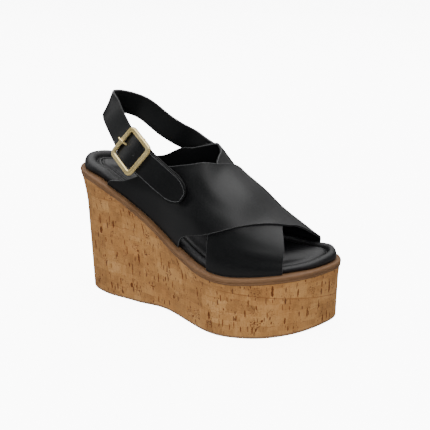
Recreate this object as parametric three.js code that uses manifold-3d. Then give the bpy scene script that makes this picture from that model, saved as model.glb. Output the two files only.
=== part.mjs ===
// A platform sandal for the right foot: a tall tapering platform, two crossed leather straps
// over the forefoot and instep, and a strap round the heel with a buckle on the outer side.
// Millimetres, +X to the toe, +Y to the inner side of the foot, +Z up, standing at z = 0.
import * as THREE from 'three';
import { mergeVertices } from 'three/addons/utils/BufferGeometryUtils.js';
import Module from 'manifold-3d';

// Sole
const SOLE_LENGTH = 240;
const BALL_WIDTH = 96;
const HEEL_HEIGHT = 120.6;
const PLATFORM_HEIGHT = 57.1;
const ARCH_RISE = 3;
const TOE_SPRING = 4;
const OUTSOLE_THICKNESS = 2.4;
const OUTSOLE_EDGE = 0.8;

// Welt: the band between platform and footbed
const WELT_HEIGHT = 6;
const WELT_WIDTH = 4.2;
const WELT_TUCK = 4;
const WELT_OVERHANG = 1;

// Footbed
const RIM_HEIGHT = 7.6;
const RIM_WIDTH = 12;
const PAD_HEIGHT = 8.6;
const SPINE_FROM_HEEL = 34;
const SPINE_FROM_TOE = 44;

// Crossed straps
const INSTEP_HEIGHT = 90.4;
const RIDGE_SHIFT = 6;
const STRAP_WALL = 2;
const STRAP_OUTSET = 0.3;
const STRAP_FUSE = 0.6;

// Heel strap and its tab
const HEEL_STRAP_WIDTH = 23;
const HEEL_STRAP_WALL = 2;
const HEEL_STRAP_HEIGHT = 60.2;
const TAB_WIDTH = 24.4;
const TAB_WALL = 1.8;
const TAB_SHORTER = 3;

// Buckle
const BUCKLE_LENGTH = 34;
const BUCKLE_WIDTH = 34;
const BUCKLE_BAR = 4.5;
const BUCKLE_THICKNESS = 2.4;
const BUCKLE_CORNER = 6;
const BUCKLE_BEVEL = 0.5;
const CENTRE_BAR_RADIUS = 1.3;
const POST_RADIUS = 1.2;
const FOLD_WALL = 1.4;
const STRAP_HUMP = 1.4;
const PRONG_RADIUS = 0.9;
const PRONG_EYE_WALL = 1.1;
const PRONG_EYE_WIDTH = 2.6;
const PRONG_SLOT_WIDTH = 3.2;
const PRONG_SLOT_LENGTH = 5.4;
const PRONG_SLOT_BACK = 9;

const CLEARANCE = 0.3;

// How finely the surfaces are divided
const AROUND = 88;
const EDGE_POINTS = 480;
const WALL_LEVELS = 7;
const STRAP_ROWS = 44;
const STRAP_COLUMNS = 9;
const HEEL_STRAP_ROWS = 68;

// The sole's outline on the floor: places along the sole as shares of SOLE_LENGTH, distances to
// the outer and inner side of the heel's centre line as shares of BALL_WIDTH
const OUTLINE = [
  { along: 0.025, outer: 0.134, inner: 0.150 },
  { along: 0.11, outer: 0.244, inner: 0.270 },
  { along: 0.24, outer: 0.286, inner: 0.293 },
  { along: 0.38, outer: 0.355, inner: 0.280 },
  { along: 0.52, outer: 0.491, inner: 0.322 },
  { along: 0.66, outer: 0.597, inner: 0.393 },
  { along: 0.79, outer: 0.519, inner: 0.391 },
  { along: 0.90, outer: 0.325, inner: 0.339 },
  { along: 0.97, outer: 0.083, inner: 0.284 },
];
const TOE_TIP_ACROSS = 0.142;

// Height of the welt's top as a share of the climb from PLATFORM_HEIGHT to HEEL_HEIGHT, and how
// far its inner edge stands outside the outline, in welt widths
const SIDE = [
  { along: 0, rise: 1, outset: 0.93 },
  { along: 0.1, rise: 0.917, outset: 0.76 },
  { along: 0.2, rise: 0.751, outset: 0.74 },
  { along: 0.3, rise: 0.561, outset: 0.72 },
  { along: 0.4, rise: 0.357, outset: 0.74 },
  { along: 0.5, rise: 0.175, outset: 0.81 },
  { along: 0.6, rise: 0.046, outset: 0.86 },
  { along: 0.7, rise: 0, outset: 0.64 },
  { along: 0.85, rise: 0.006, outset: -0.12 },
  { along: 1, rise: 0.016, outset: -0.45 },
];

// The foot under the straps: height above the welt as a share of INSTEP_HEIGHT, and the power
// of each section's rounding (2 is an ellipse, more is squarer)
const FOOT = [
  { along: 0.1, height: 0.46, power: 2 },
  { along: 0.25, height: 0.672, power: 2 },
  { along: 0.375, height: 0.965, power: 2 },
  { along: 0.525, height: 1, power: 2.08 },
  { along: 0.604, height: 0.83, power: 2.18 },
  { along: 0.688, height: 0.682, power: 2.28 },
  { along: 0.771, height: 0.469, power: 2.38 },
  { along: 0.854, height: 0.304, power: 2.6 },
  { along: 0.938, height: 0.155, power: 2.8 },
  { along: 1, height: 0.127, power: 2.8 },
];

// Each strap's rear and front edge as shares of SOLE_LENGTH, from the outer side (turn 0) over
// the foot to the inner side (turn 1)
const OVER_STRAP = [
  { turn: 0, rear: 0.144, front: 0.481 },
  { turn: 0.03, rear: 0.154, front: 0.492 },
  { turn: 0.08, rear: 0.215, front: 0.558 },
  { turn: 0.13, rear: 0.272, front: 0.621 },
  { turn: 0.19, rear: 0.362, front: 0.681 },
  { turn: 0.25, rear: 0.447, front: 0.723 },
  { turn: 0.33, rear: 0.538, front: 0.763 },
  { turn: 0.43, rear: 0.581, front: 0.808 },
  { turn: 0.53, rear: 0.600, front: 0.854 },
  { turn: 0.62, rear: 0.610, front: 0.896 },
  { turn: 0.75, rear: 0.623, front: 0.912 },
  { turn: 0.88, rear: 0.640, front: 0.910 },
  { turn: 1, rear: 0.658, front: 0.898 },
];
const UNDER_STRAP = [
  { turn: 0, rear: 0.617, front: 0.867 },
  { turn: 0.08, rear: 0.613, front: 0.867 },
  { turn: 0.19, rear: 0.612, front: 0.864 },
  { turn: 0.33, rear: 0.598, front: 0.846 },
  { turn: 0.43, rear: 0.577, front: 0.825 },
  { turn: 0.53, rear: 0.562, front: 0.806 },
  { turn: 0.62, rear: 0.517, front: 0.779 },
  { turn: 0.75, rear: 0.408, front: 0.717 },
  { turn: 0.82, rear: 0.289, front: 0.660 },
  { turn: 0.88, rear: 0.198, front: 0.608 },
  { turn: 0.95, rear: 0.162, front: 0.545 },
  { turn: 1, rear: 0.158, front: 0.508 },
];

// Where the heel strap runs free: along as a share of SOLE_LENGTH, across as a share of
// BALL_WIDTH, up as a share of HEEL_STRAP_HEIGHT above the heel, and the way its outer face
// looks, as a bearing from +X towards +Y and an angle upwards, in degrees
const FREE_RUN = [
  { along: 0.395, across: 0.290, up: 0.375, bearing: 86, tilt: 6 },
  { along: 0.284, across: 0.267, up: 0.592, bearing: 92, tilt: 4 },
  { along: 0.176, across: 0.219, up: 0.886, bearing: 106, tilt: 15 },
  { along: 0.101, across: -0.010, up: 1.012, bearing: 165, tilt: 29 },
  { along: 0.131, across: -0.112, up: 0.900, bearing: 248, tilt: 25 },
  { along: 0.200, across: -0.221, up: 0.614, bearing: 255, tilt: 21 },
  { along: 0.264, across: -0.322, up: 0.415, bearing: 265, tilt: 20 },
  { along: 0.356, across: -0.408, up: 0.227, bearing: 266, tilt: 21 },
];
const BUCKLE_STATION = 7;
// Its two ends lie on the foot: the sewn end on the inner side, the free end on the outer side
const SEWN_END = { along: 0.507, turn: 0.745 };
const FREE_END = { along: 0.507, turn: 0.166 };

const materials = {
  rubber: { color: 0x4a3426, roughness: 0.85, metalness: 0 },
  cork: { color: 0xc48a55, roughness: 0.85, metalness: 0 },
  welt: { color: 0xbf8a58, roughness: 0.6, metalness: 0 },
  leather: { color: 0x16171a, roughness: 0.5, metalness: 0 },
  lining: { color: 0x1b1c1f, roughness: 0.6, metalness: 0 },
  gold: { color: 0xd9bd83, roughness: 0.25, metalness: 1 },
};

const wasm = await Module();
wasm.setup();

// A smooth reading of one column of a table that never overshoots its rows
function reading(table, key, column, at) {
  const last = table.length - 1;
  if (at <= table[0][key]) return table[0][column];
  if (at >= table[last][key]) return table[last][column];
  const step = (i) => table[i + 1][key] - table[i][key];
  const rate = (i) => (table[i + 1][column] - table[i][column]) / step(i);
  const slope = (i) => {
    if (i === 0) return rate(0);
    if (i === last) return rate(last - 1);
    const before = rate(i - 1);
    const after = rate(i);
    return before * after <= 0 ? 0 : (2 * before * after) / (before + after);
  };
  let row = 0;
  while (at > table[row + 1][key]) row += 1;
  const width = step(row);
  const s = (at - table[row][key]) / width;
  const start = (1 + 2 * s) * (1 - s) ** 2 * table[row][column] + s * (1 - s) ** 2 * width * slope(row);
  const end = s * s * (3 - 2 * s) * table[row + 1][column] - s * s * (1 - s) * width * slope(row + 1);
  return start + end;
}

const ramp = (value, from, to) => THREE.MathUtils.smoothstep(value, from, to);
const share = (x) => THREE.MathUtils.clamp(x / SOLE_LENGTH, 0, 1);
const weltTop = (x) => PLATFORM_HEIGHT
  + (HEEL_HEIGHT - PLATFORM_HEIGHT) * reading(SIDE, 'along', 'rise', share(x));
const weltOutset = (x) => WELT_WIDTH * reading(SIDE, 'along', 'outset', share(x));

// The underside: flat at the heel and under the ball, raised at the arch and at the toe
const ARCH = { middle: 0.42, reach: 0.17 };
const SPRING_START = 0.76;
function soleBottom(x) {
  const arch = Math.min(1, Math.abs(share(x) - ARCH.middle) / ARCH.reach);
  const spring = Math.max(0, share(x) - SPRING_START) / (1 - SPRING_START);
  return ARCH_RISE * (1 - arch ** 2) ** 2 + TOE_SPRING * spring ** 2;
}

// The sole's outline as a closed curve, from the heel along the outer side to the toe and back
function outlineCurve() {
  const point = (along, across) => new THREE.Vector3(along * SOLE_LENGTH, across * BALL_WIDTH, 0);
  const outer = OUTLINE.map((row) => point(row.along, -row.outer));
  const inner = OUTLINE.map((row) => point(row.along, row.inner)).reverse();
  const points = [point(0, 0), ...outer, point(1, TOE_TIP_ACROSS), ...inner];
  const curve = new THREE.CatmullRomCurve3(points, true, 'centripetal');
  curve.arcLengthDivisions = 2 * EDGE_POINTS;
  return curve;
}
const OUTLINE_CURVE = outlineCurve();

// Points round the outline with their outward directions, and the same for the welt's inner edge
function outlineRing(count) {
  return Array.from({ length: count }, (_, i) => {
    const at = OUTLINE_CURVE.getPointAt(i / count);
    const tangent = OUTLINE_CURVE.getTangentAt(i / count);
    return { x: at.x, y: at.y, outX: tangent.y, outY: -tangent.x, round: i / count };
  });
}
const RING = outlineRing(AROUND);
const EDGE = outlineRing(EDGE_POINTS).map((p) => ({
  x: p.x + p.outX * weltOutset(p.x),
  y: p.y + p.outY * weltOutset(p.x),
}));

// Where the welt's inner edge lies at x, on the outer side (first half) or the inner side
function edgeAcross(x, outerSide) {
  const half = EDGE.length / 2;
  const side = outerSide ? EDGE.slice(0, half) : [...EDGE.slice(half), EDGE[0]].reverse();
  let i = 1;
  while (i < side.length - 1 && side[i].x < x) i += 1;
  const t = THREE.MathUtils.clamp((x - side[i - 1].x) / (side[i].x - side[i - 1].x), 0, 1);
  return THREE.MathUtils.lerp(side[i - 1].y, side[i].y, t);
}

// A ring of points outset from the outline; outset and height are functions of x and of the
// share of the way round from the heel by the outer side
function ringAt(outset, height) {
  return RING.map((p) => {
    const out = outset(p.x, p.round);
    return new THREE.Vector3(p.x + p.outX * out, p.y + p.outY * out, height(p.x, p.round));
  });
}

// A mesh from rings of equal length. A hoop joins its last ring to its first; a plug closes its
// first and last ring by strips between the two sides
function ringSolid(rings, hoop) {
  const count = rings[0].length;
  const faces = [];
  const quad = (a, b, c, d) => faces.push(a, b, c, a, c, d);
  const bands = hoop ? rings.length : rings.length - 1;
  for (let r = 0; r < bands; r += 1) {
    const low = r * count;
    const high = ((r + 1) % rings.length) * count;
    for (let i = 0; i < count; i += 1) {
      const next = (i + 1) % count;
      quad(low + i, low + next, high + next, high + i);
    }
  }
  const close = (base, up) => {
    const face = (a, b, c) => (up ? faces.push(a, b, c) : faces.push(a, c, b));
    const half = count / 2;
    face(base, base + 1, base + count - 1);
    for (let i = 1; i < half - 1; i += 1) {
      face(base + i, base + i + 1, base + count - i);
      face(base + i + 1, base + count - i - 1, base + count - i);
    }
    face(base + half - 1, base + half, base + half + 1);
  };
  if (!hoop) {
    close(0, false);
    close((rings.length - 1) * count, true);
  }
  return meshGeometry(rings.flat(), faces);
}

// Two triangles for a four-cornered patch, split along its shorter diagonal
function splitPatch(points, faces, a, b, c, d) {
  if (points[a].distanceTo(points[c]) <= points[b].distanceTo(points[d])) faces.push(a, b, c, a, c, d);
  else faces.push(a, b, d, b, c, d);
}

function meshGeometry(points, faces) {
  const geometry = new THREE.BufferGeometry();
  geometry.setAttribute('position', new THREE.Float32BufferAttribute(points.flatMap((p) => p.toArray()), 3));
  geometry.setIndex(faces);
  return geometry;
}

// A sheet with a thickness: outer and inner give the point of each face at (row, column)
function slab(rows, columns, outer, inner) {
  const points = [];
  const faces = [];
  const across = columns + 1;
  const layer = (rows + 1) * across;
  for (const face of [outer, inner]) {
    for (let i = 0; i <= rows; i += 1) {
      for (let j = 0; j <= columns; j += 1) points.push(face(i, j));
    }
  }
  const quad = (...corners) => splitPatch(points, faces, ...corners);
  const at = (i, j) => i * across + j;
  for (let i = 0; i < rows; i += 1) {
    for (let j = 0; j < columns; j += 1) {
      quad(at(i, j), at(i, j + 1), at(i + 1, j + 1), at(i + 1, j));
      quad(layer + at(i, j), layer + at(i + 1, j), layer + at(i + 1, j + 1), layer + at(i, j + 1));
    }
    quad(at(i, 0), at(i + 1, 0), layer + at(i + 1, 0), layer + at(i, 0));
    quad(at(i + 1, columns), at(i, columns), layer + at(i, columns), layer + at(i + 1, columns));
  }
  for (let j = 0; j < columns; j += 1) {
    quad(at(0, j + 1), at(0, j), layer + at(0, j), layer + at(0, j + 1));
    quad(at(rows, j), at(rows, j + 1), layer + at(rows, j + 1), layer + at(rows, j));
  }
  return meshGeometry(points, faces);
}

// Boolean joins and cuts
function toSolid(geometry) {
  const bare = geometry.clone();
  bare.deleteAttribute('normal');
  bare.deleteAttribute('uv');
  const merged = mergeVertices(bare, 1e-4);
  const mesh = new wasm.Mesh({
    numProp: 3,
    vertProperties: new Float32Array(merged.attributes.position.array),
    triVerts: new Uint32Array(merged.index.array),
  });
  return new wasm.Manifold(mesh);
}

function toGeometry(solid) {
  const mesh = solid.getMesh();
  const geometry = new THREE.BufferGeometry();
  geometry.setAttribute('position', new THREE.BufferAttribute(new Float32Array(mesh.vertProperties), 3));
  geometry.setIndex(Array.from(mesh.triVerts));
  return geometry;
}

// Sole pieces
function outsole() {
  const side = (inset) => () => -inset;
  const bottom = (x) => soleBottom(x);
  const low = (x) => soleBottom(x) + OUTSOLE_EDGE;
  const top = (x) => soleBottom(x) + OUTSOLE_THICKNESS - CLEARANCE;
  return ringSolid([
    ringAt(side(OUTSOLE_EDGE), bottom),
    ringAt(side(0), low),
    ringAt(side(0), top),
  ], false);
}

// The platform's wall leans out all the way up and flares just under the welt
const FLARE = { start: 0.72, share: 0.5, power: 1.7 };
const LEVEL_CROWDING = 1.4;
function wedge() {
  const bottom = (x) => soleBottom(x) + OUTSOLE_THICKNESS;
  const top = (x) => weltTop(x) - WELT_HEIGHT;
  const rings = [];
  for (let level = 0; level <= WALL_LEVELS; level += 1) {
    const up = 1 - (1 - level / WALL_LEVELS) ** LEVEL_CROWDING;
    const flare = Math.max(0, (up - FLARE.start) / (1 - FLARE.start)) ** FLARE.power;
    const lean = (1 - FLARE.share) * up + FLARE.share * flare;
    const outset = (x) => (weltOutset(x) + WELT_WIDTH - WELT_OVERHANG) * lean;
    rings.push(ringAt(outset, (x) => THREE.MathUtils.lerp(bottom(x), top(x), up)));
  }
  return ringSolid(rings, false);
}

// Section of the welt: out from its inner edge in welt widths, down from its top in welt heights
const WELT_SECTION = [
  { out: 0, down: 0 },
  { out: 0.7, down: 0.04 },
  { out: 0.93, down: 0.18 },
  { out: 1, down: 0.45 },
  { out: 0.95, down: 0.75 },
  { out: 0.8, down: 1 },
];
function welt() {
  const tucked = (x) => weltOutset(x) - WELT_TUCK;
  const low = (x) => weltTop(x) - WELT_HEIGHT + CLEARANCE;
  const rings = WELT_SECTION.map((row) => ringAt(
    (x) => weltOutset(x) + row.out * WELT_WIDTH,
    (x) => weltTop(x) - row.down * (WELT_HEIGHT - CLEARANCE),
  ));
  return ringSolid([...rings.reverse(), ringAt(tucked, weltTop), ringAt(tucked, low)], true);
}

// The footbed is set in where the straps come down beside it
const TUCK_ENDS = { heelFrom: 0.03, heelTo: 0.11, toeFrom: 0.9, toeTo: 0.97 };
function rimTuck(x) {
  const depth = STRAP_WALL - STRAP_OUTSET + 2 * CLEARANCE;
  const rear = ramp(share(x), TUCK_ENDS.heelFrom, TUCK_ENDS.heelTo);
  const front = 1 - ramp(share(x), TUCK_ENDS.toeFrom, TUCK_ENDS.toeTo);
  return depth * rear * front;
}

// The rim's roll, round from the heel by the outer side: its height as a share of RIM_HEIGHT and
// its width as a share of RIM_WIDTH
const RIM_ROLL = [
  { round: 0, height: 1.36, width: 0.95 },
  { round: 0.05, height: 1, width: 0.95 },
  { round: 0.1, height: 0.92, width: 0.93 },
  { round: 0.2, height: 0.84, width: 0.84 },
  { round: 0.36, height: 0.64, width: 0.69 },
  { round: 0.44, height: 0.64, width: 0.67 },
  { round: 0.5, height: 0.93, width: 0.67 },
  { round: 0.56, height: 1.26, width: 0.67 },
  { round: 0.64, height: 1.26, width: 0.74 },
  { round: 0.8, height: 1.34, width: 0.84 },
  { round: 0.94, height: 1.5, width: 0.95 },
  { round: 1, height: 1.36, width: 0.95 },
];
const rimHeight = (round) => RIM_HEIGHT * reading(RIM_ROLL, 'round', 'height', round);
const rimWidth = (round) => RIM_WIDTH * reading(RIM_ROLL, 'round', 'width', round);

// The roll starts above an upright side, ends in a valley, and the pad rises from there to the
// middle line: inward as a share of the way to it, rise as a share of the valley's depth
const RIM_ANGLES = [0, 30, 60, 90, 120, 150];
const UPRIGHT_SHARE = 0.4;
const VALLEY = { beyond: 1.1, depth: 0.62 };
const PAD_RINGS = [
  { inward: 0.16, rise: 0.5 },
  { inward: 0.45, rise: 0.85 },
  { inward: 0.85, rise: 1 },
];
function footbed() {
  const edge = (inset) => (x, round) => weltOutset(x) - inset * rimWidth(round) - rimTuck(x);
  const above = (part) => (x, round) => weltTop(x) + part * rimHeight(round);
  const core = (x) => weltOutset(x) - WELT_TUCK - CLEARANCE;
  const rings = [
    ringAt(core, (x) => weltTop(x) + CLEARANCE - WELT_HEIGHT),
    ringAt(core, (x) => weltTop(x) + CLEARANCE),
    ringAt(edge(0), (x) => weltTop(x) + CLEARANCE),
  ];
  for (const degrees of RIM_ANGLES) {
    const angle = THREE.MathUtils.degToRad(degrees);
    const up = THREE.MathUtils.lerp(UPRIGHT_SHARE, 1, Math.sin(angle));
    rings.push(ringAt(edge((1 - Math.cos(angle)) / 2), above(up)));
  }
  const valley = ringAt(edge(VALLEY.beyond), above(VALLEY.depth));
  rings.push(valley);
  for (const row of PAD_RINGS) {
    rings.push(valley.map((p) => {
      const at = p.clone().lerp(spinePoint(p.x), row.inward);
      const depth = p.z - weltTop(p.x);
      return at.setZ(weltTop(at.x) + THREE.MathUtils.lerp(depth, PAD_HEIGHT, row.rise));
    }));
  }
  return ringSolid(rings, false);
}

// The line down the middle of the footbed that its rings close towards
function spinePoint(x) {
  const along = THREE.MathUtils.clamp(x, SPINE_FROM_HEEL, SOLE_LENGTH - SPINE_FROM_TOE);
  return new THREE.Vector3(along, (edgeAcross(along, true) + edgeAcross(along, false)) / 2, 0);
}

// The foot that the straps are shaped over: turn 0 is the outer side, 1 the inner side
function footSkin(along, turn) {
  const x = along * SOLE_LENGTH;
  const outer = edgeAcross(x, true) - STRAP_OUTSET;
  const inner = edgeAcross(x, false) + STRAP_OUTSET;
  const power = 2 / reading(FOOT, 'along', 'power', along);
  const height = INSTEP_HEIGHT * reading(FOOT, 'along', 'height', along);
  const cos = Math.cos(turn * Math.PI);
  const sin = Math.max(0, Math.sin(turn * Math.PI));
  const y = (outer + inner) / 2 - Math.sign(cos) * Math.abs(cos) ** power * (inner - outer) / 2;
  return new THREE.Vector3(x, y + RIDGE_SHIFT * sin ** 2, weltTop(x) + CLEARANCE + height * sin ** power);
}

// The foot's outward direction, and a point at a distance out from its skin
const PROBE = 0.004;
function footNormal(along, turn) {
  const low = Math.max(PROBE, turn - PROBE);
  const high = Math.min(1 - PROBE, turn + PROBE);
  const forward = footSkin(along + PROBE, turn).sub(footSkin(along - PROBE, turn));
  const over = footSkin(along, high).sub(footSkin(along, low));
  return forward.cross(over).normalize();
}

function onFoot(along, turn, out) {
  const normal = footNormal(along, turn);
  if (Math.sin(turn * Math.PI) < 0.01) normal.setZ(0).normalize();
  return footSkin(along, turn).addScaledVector(normal, out);
}

// One crossed strap, from sole to sole, its outer face at depth(turn) under the foot's skin
function crossedStrap(table, depth) {
  const face = (extra) => (i, j) => {
    const turn = i / STRAP_ROWS;
    const rear = reading(table, 'turn', 'rear', turn);
    const front = reading(table, 'turn', 'front', turn);
    return onFoot(THREE.MathUtils.lerp(rear, front, j / STRAP_COLUMNS), turn, -depth(turn) - extra);
  };
  return slab(STRAP_ROWS, STRAP_COLUMNS, face(0), face(STRAP_WALL));
}

// How far the lower strap lies under the upper one: nothing at the sole, nearly a wall higher up
const SINKING = { start: 0.02, full: 0.1 };
function underDepth(turn) {
  const away = Math.min(turn, 1 - turn);
  return (STRAP_WALL - STRAP_FUSE) * ramp(away, SINKING.start, SINKING.full);
}

function upper() {
  const over = toSolid(crossedStrap(OVER_STRAP, () => 0));
  const under = toSolid(crossedStrap(UNDER_STRAP, underDepth));
  return toGeometry(over.add(under));
}

// The heel strap's middle line and the way its outer face looks, from the sewn end to the tip
function heelStrapStations() {
  const sewnOut = CLEARANCE + HEEL_STRAP_WALL / 2 - underDepth(SEWN_END.turn);
  const freeOut = CLEARANCE * 2 + TAB_WALL + HEEL_STRAP_WALL / 2;
  const free = FREE_RUN.map((row) => {
    const bearing = THREE.MathUtils.degToRad(row.bearing);
    const tilt = THREE.MathUtils.degToRad(row.tilt);
    const level = Math.cos(tilt);
    return {
      at: new THREE.Vector3(
        row.along * SOLE_LENGTH,
        row.across * BALL_WIDTH,
        HEEL_HEIGHT + row.up * HEEL_STRAP_HEIGHT,
      ),
      out: new THREE.Vector3(Math.cos(bearing) * level, Math.sin(bearing) * level, Math.sin(tilt)),
    };
  });
  const end = (place, out) => ({
    at: onFoot(place.along, place.turn, out),
    out: footNormal(place.along, place.turn),
  });
  return [end(SEWN_END, sewnOut), ...free, end(FREE_END, freeOut)];
}
const STATIONS = heelStrapStations();
const STRAP_PATH = new THREE.CatmullRomCurve3(STATIONS.map((s) => s.at), false, 'centripetal');
const OUT_PATH = new THREE.CatmullRomCurve3(STATIONS.map((s) => s.out), false, 'centripetal');

// Position and directions at a place t (0 to 1) along the heel strap
function strapFrame(t) {
  const forward = STRAP_PATH.getTangent(t);
  const out = OUT_PATH.getPoint(t);
  out.addScaledVector(forward, -out.dot(forward)).normalize();
  return { at: STRAP_PATH.getPoint(t), forward, out, across: out.clone().cross(forward) };
}

const BUCKLE_T = BUCKLE_STATION / (STATIONS.length - 1);
const BUCKLE = strapFrame(BUCKLE_T);

// The strap rises over the buckle's middle bar and dips under its two ends
function hump(point) {
  const distance = Math.abs(point.clone().sub(BUCKLE.at).dot(BUCKLE.forward));
  const reach = BUCKLE_LENGTH / 2 - BUCKLE_BAR / 2;
  return distance > reach ? 0 : STRAP_HUMP * (0.5 + 0.5 * Math.cos(Math.PI * distance / reach));
}

// A strap along the path between two places, shifted outwards, with a rounded far end
const ROW_CROWDING = 1.25;
const TIP_BLUNTNESS = 0.02;
const LAST_STRETCH = STATIONS[STATIONS.length - 1].at.distanceTo(STATIONS[STATIONS.length - 2].at);
function pathStrap(from, to, rows, width, wall, shift) {
  const face = (side) => (i, j) => {
    const t = THREE.MathUtils.lerp(from, to, 1 - (1 - i / rows) ** ROW_CROWDING);
    const frame = strapFrame(t);
    const toEnd = (to - t) * (STATIONS.length - 1) * LAST_STRETCH;
    const left = Math.min(1, toEnd / (width / 2));
    const half = (width / 2) * Math.sqrt(Math.max(TIP_BLUNTNESS, 1 - (1 - left) ** 2));
    return frame.at.clone()
      .addScaledVector(frame.out, shift(frame.at) + side * wall / 2)
      .addScaledVector(frame.across, j === 0 ? half : -half);
  };
  return slab(rows, 1, face(1), face(-1));
}

// A shape drawn in the buckle's own plane (x along the strap, y across it, z outwards)
function buckleMatrix() {
  return new THREE.Matrix4()
    .makeBasis(BUCKLE.forward, BUCKLE.across, BUCKLE.out)
    .setPosition(BUCKLE.at);
}

function roundedRectangle(path, length, width, radius) {
  const x = length / 2;
  const y = width / 2;
  path.moveTo(x, y - radius);
  path.absarc(x - radius, y - radius, radius, 0, Math.PI / 2);
  path.absarc(radius - x, y - radius, radius, Math.PI / 2, Math.PI);
  path.absarc(radius - x, radius - y, radius, Math.PI, 1.5 * Math.PI);
  path.absarc(x - radius, radius - y, radius, 1.5 * Math.PI, 2 * Math.PI);
  return path;
}

const FRAME_LOW = HEEL_STRAP_WALL / 2 + CLEARANCE;
const FRAME_TOP = FRAME_LOW + BUCKLE_THICKNESS;
const FOLD_INNER = CENTRE_BAR_RADIUS + CLEARANCE;
const FOLD_OUTER = FOLD_INNER + FOLD_WALL;
const CENTRE_BAR_LEVEL = STRAP_HUMP - HEEL_STRAP_WALL / 2 - CLEARANCE - FOLD_OUTER;

const ROD_SIDES = 12;
const PRONG_STEPS = 12;
function extrudeRound(path, radius, steps) {
  const corners = Array.from({ length: ROD_SIDES }, (_, i) => {
    const angle = (2 * Math.PI * i) / ROD_SIDES;
    return new THREE.Vector2(radius * Math.cos(angle), radius * Math.sin(angle));
  });
  const settings = { steps, extrudePath: path, bevelEnabled: false };
  return new THREE.ExtrudeGeometry(new THREE.Shape(corners), settings);
}

function rod(from, to, radius) {
  return extrudeRound(new THREE.LineCurve3(from, to), radius, 1);
}

function buckleFrame() {
  const outline = roundedRectangle(new THREE.Shape(), BUCKLE_LENGTH, BUCKLE_WIDTH, BUCKLE_CORNER);
  const opening = roundedRectangle(
    new THREE.Path(),
    BUCKLE_LENGTH - 2 * BUCKLE_BAR,
    BUCKLE_WIDTH - 2 * BUCKLE_BAR,
    BUCKLE_CORNER - BUCKLE_BAR,
  );
  outline.holes.push(opening);
  const ring = new THREE.ExtrudeGeometry(outline, {
    depth: BUCKLE_THICKNESS - 2 * BUCKLE_BEVEL,
    bevelThickness: BUCKLE_BEVEL,
    bevelSize: BUCKLE_BEVEL,
    bevelOffset: -BUCKLE_BEVEL,
    bevelSegments: 1,
    curveSegments: 5,
  });
  ring.translate(0, 0, FRAME_LOW + BUCKLE_BEVEL);
  const side = (BUCKLE_WIDTH - BUCKLE_BAR) / 2;
  const end = (across, level) => new THREE.Vector3(0, across, level);
  const tip = side + POST_RADIUS;
  const bar = rod(end(-tip, CENTRE_BAR_LEVEL), end(tip, CENTRE_BAR_LEVEL), CENTRE_BAR_RADIUS);
  const frameMiddle = FRAME_LOW + BUCKLE_THICKNESS / 2;
  const posts = [-side, side].map((across) => (
    rod(end(across, CENTRE_BAR_LEVEL), end(across, frameMiddle), POST_RADIUS)
  ));
  const solid = [bar, ...posts].reduce((sum, piece) => sum.add(toSolid(piece)), toSolid(ring));
  return toGeometry(solid).applyMatrix4(buckleMatrix());
}

// A tube round the buckle's middle bar
const SLEEVE_SIDES = 20;
function barSleeve(inner, outer, width) {
  const half = width / 2;
  const profile = [
    new THREE.Vector2(inner, -half),
    new THREE.Vector2(outer, -half),
    new THREE.Vector2(outer, half),
    new THREE.Vector2(inner, half),
    new THREE.Vector2(inner, -half),
  ];
  return new THREE.LatheGeometry(profile, SLEEVE_SIDES).translate(0, 0, CENTRE_BAR_LEVEL);
}

// The prong's side view: back from the middle bar in half buckle lengths, and up from the middle
// bar to where the prong rests on the frame
const PRONG_ROUTE = [
  { back: 0.1, up: 0 },
  { back: 0.3, up: 0.02 },
  { back: 0.46, up: 0.22 },
  { back: 0.6, up: 0.68 },
  { back: 0.72, up: 0.97 },
  { back: 0.9, up: 1.01 },
  { back: 1.05, up: 0.98 },
];
function buckleProng() {
  const rest = FRAME_TOP + CLEARANCE + PRONG_RADIUS;
  const route = PRONG_ROUTE.map((row) => new THREE.Vector3(
    -row.back * BUCKLE_LENGTH / 2,
    0,
    THREE.MathUtils.lerp(CENTRE_BAR_LEVEL, rest, row.up),
  ));
  const shank = extrudeRound(new THREE.CatmullRomCurve3(route), PRONG_RADIUS, PRONG_STEPS);
  const eye = barSleeve(CENTRE_BAR_RADIUS + CLEARANCE / 2, FOLD_INNER + PRONG_EYE_WALL, PRONG_EYE_WIDTH);
  return toGeometry(toSolid(eye).add(toSolid(shank))).applyMatrix4(buckleMatrix());
}

// The slot that lets the prong up through the strap
function prongSlot() {
  const slot = new THREE.BoxGeometry(PRONG_SLOT_LENGTH, PRONG_SLOT_WIDTH, BUCKLE_LENGTH);
  slot.translate(-PRONG_SLOT_BACK, 0, 0);
  return toSolid(slot.applyMatrix4(buckleMatrix()));
}

function heelStrap() {
  const strap = pathStrap(0, 1, HEEL_STRAP_ROWS, HEEL_STRAP_WIDTH, HEEL_STRAP_WALL, hump);
  return toGeometry(toSolid(strap).subtract(prongSlot()));
}

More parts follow.
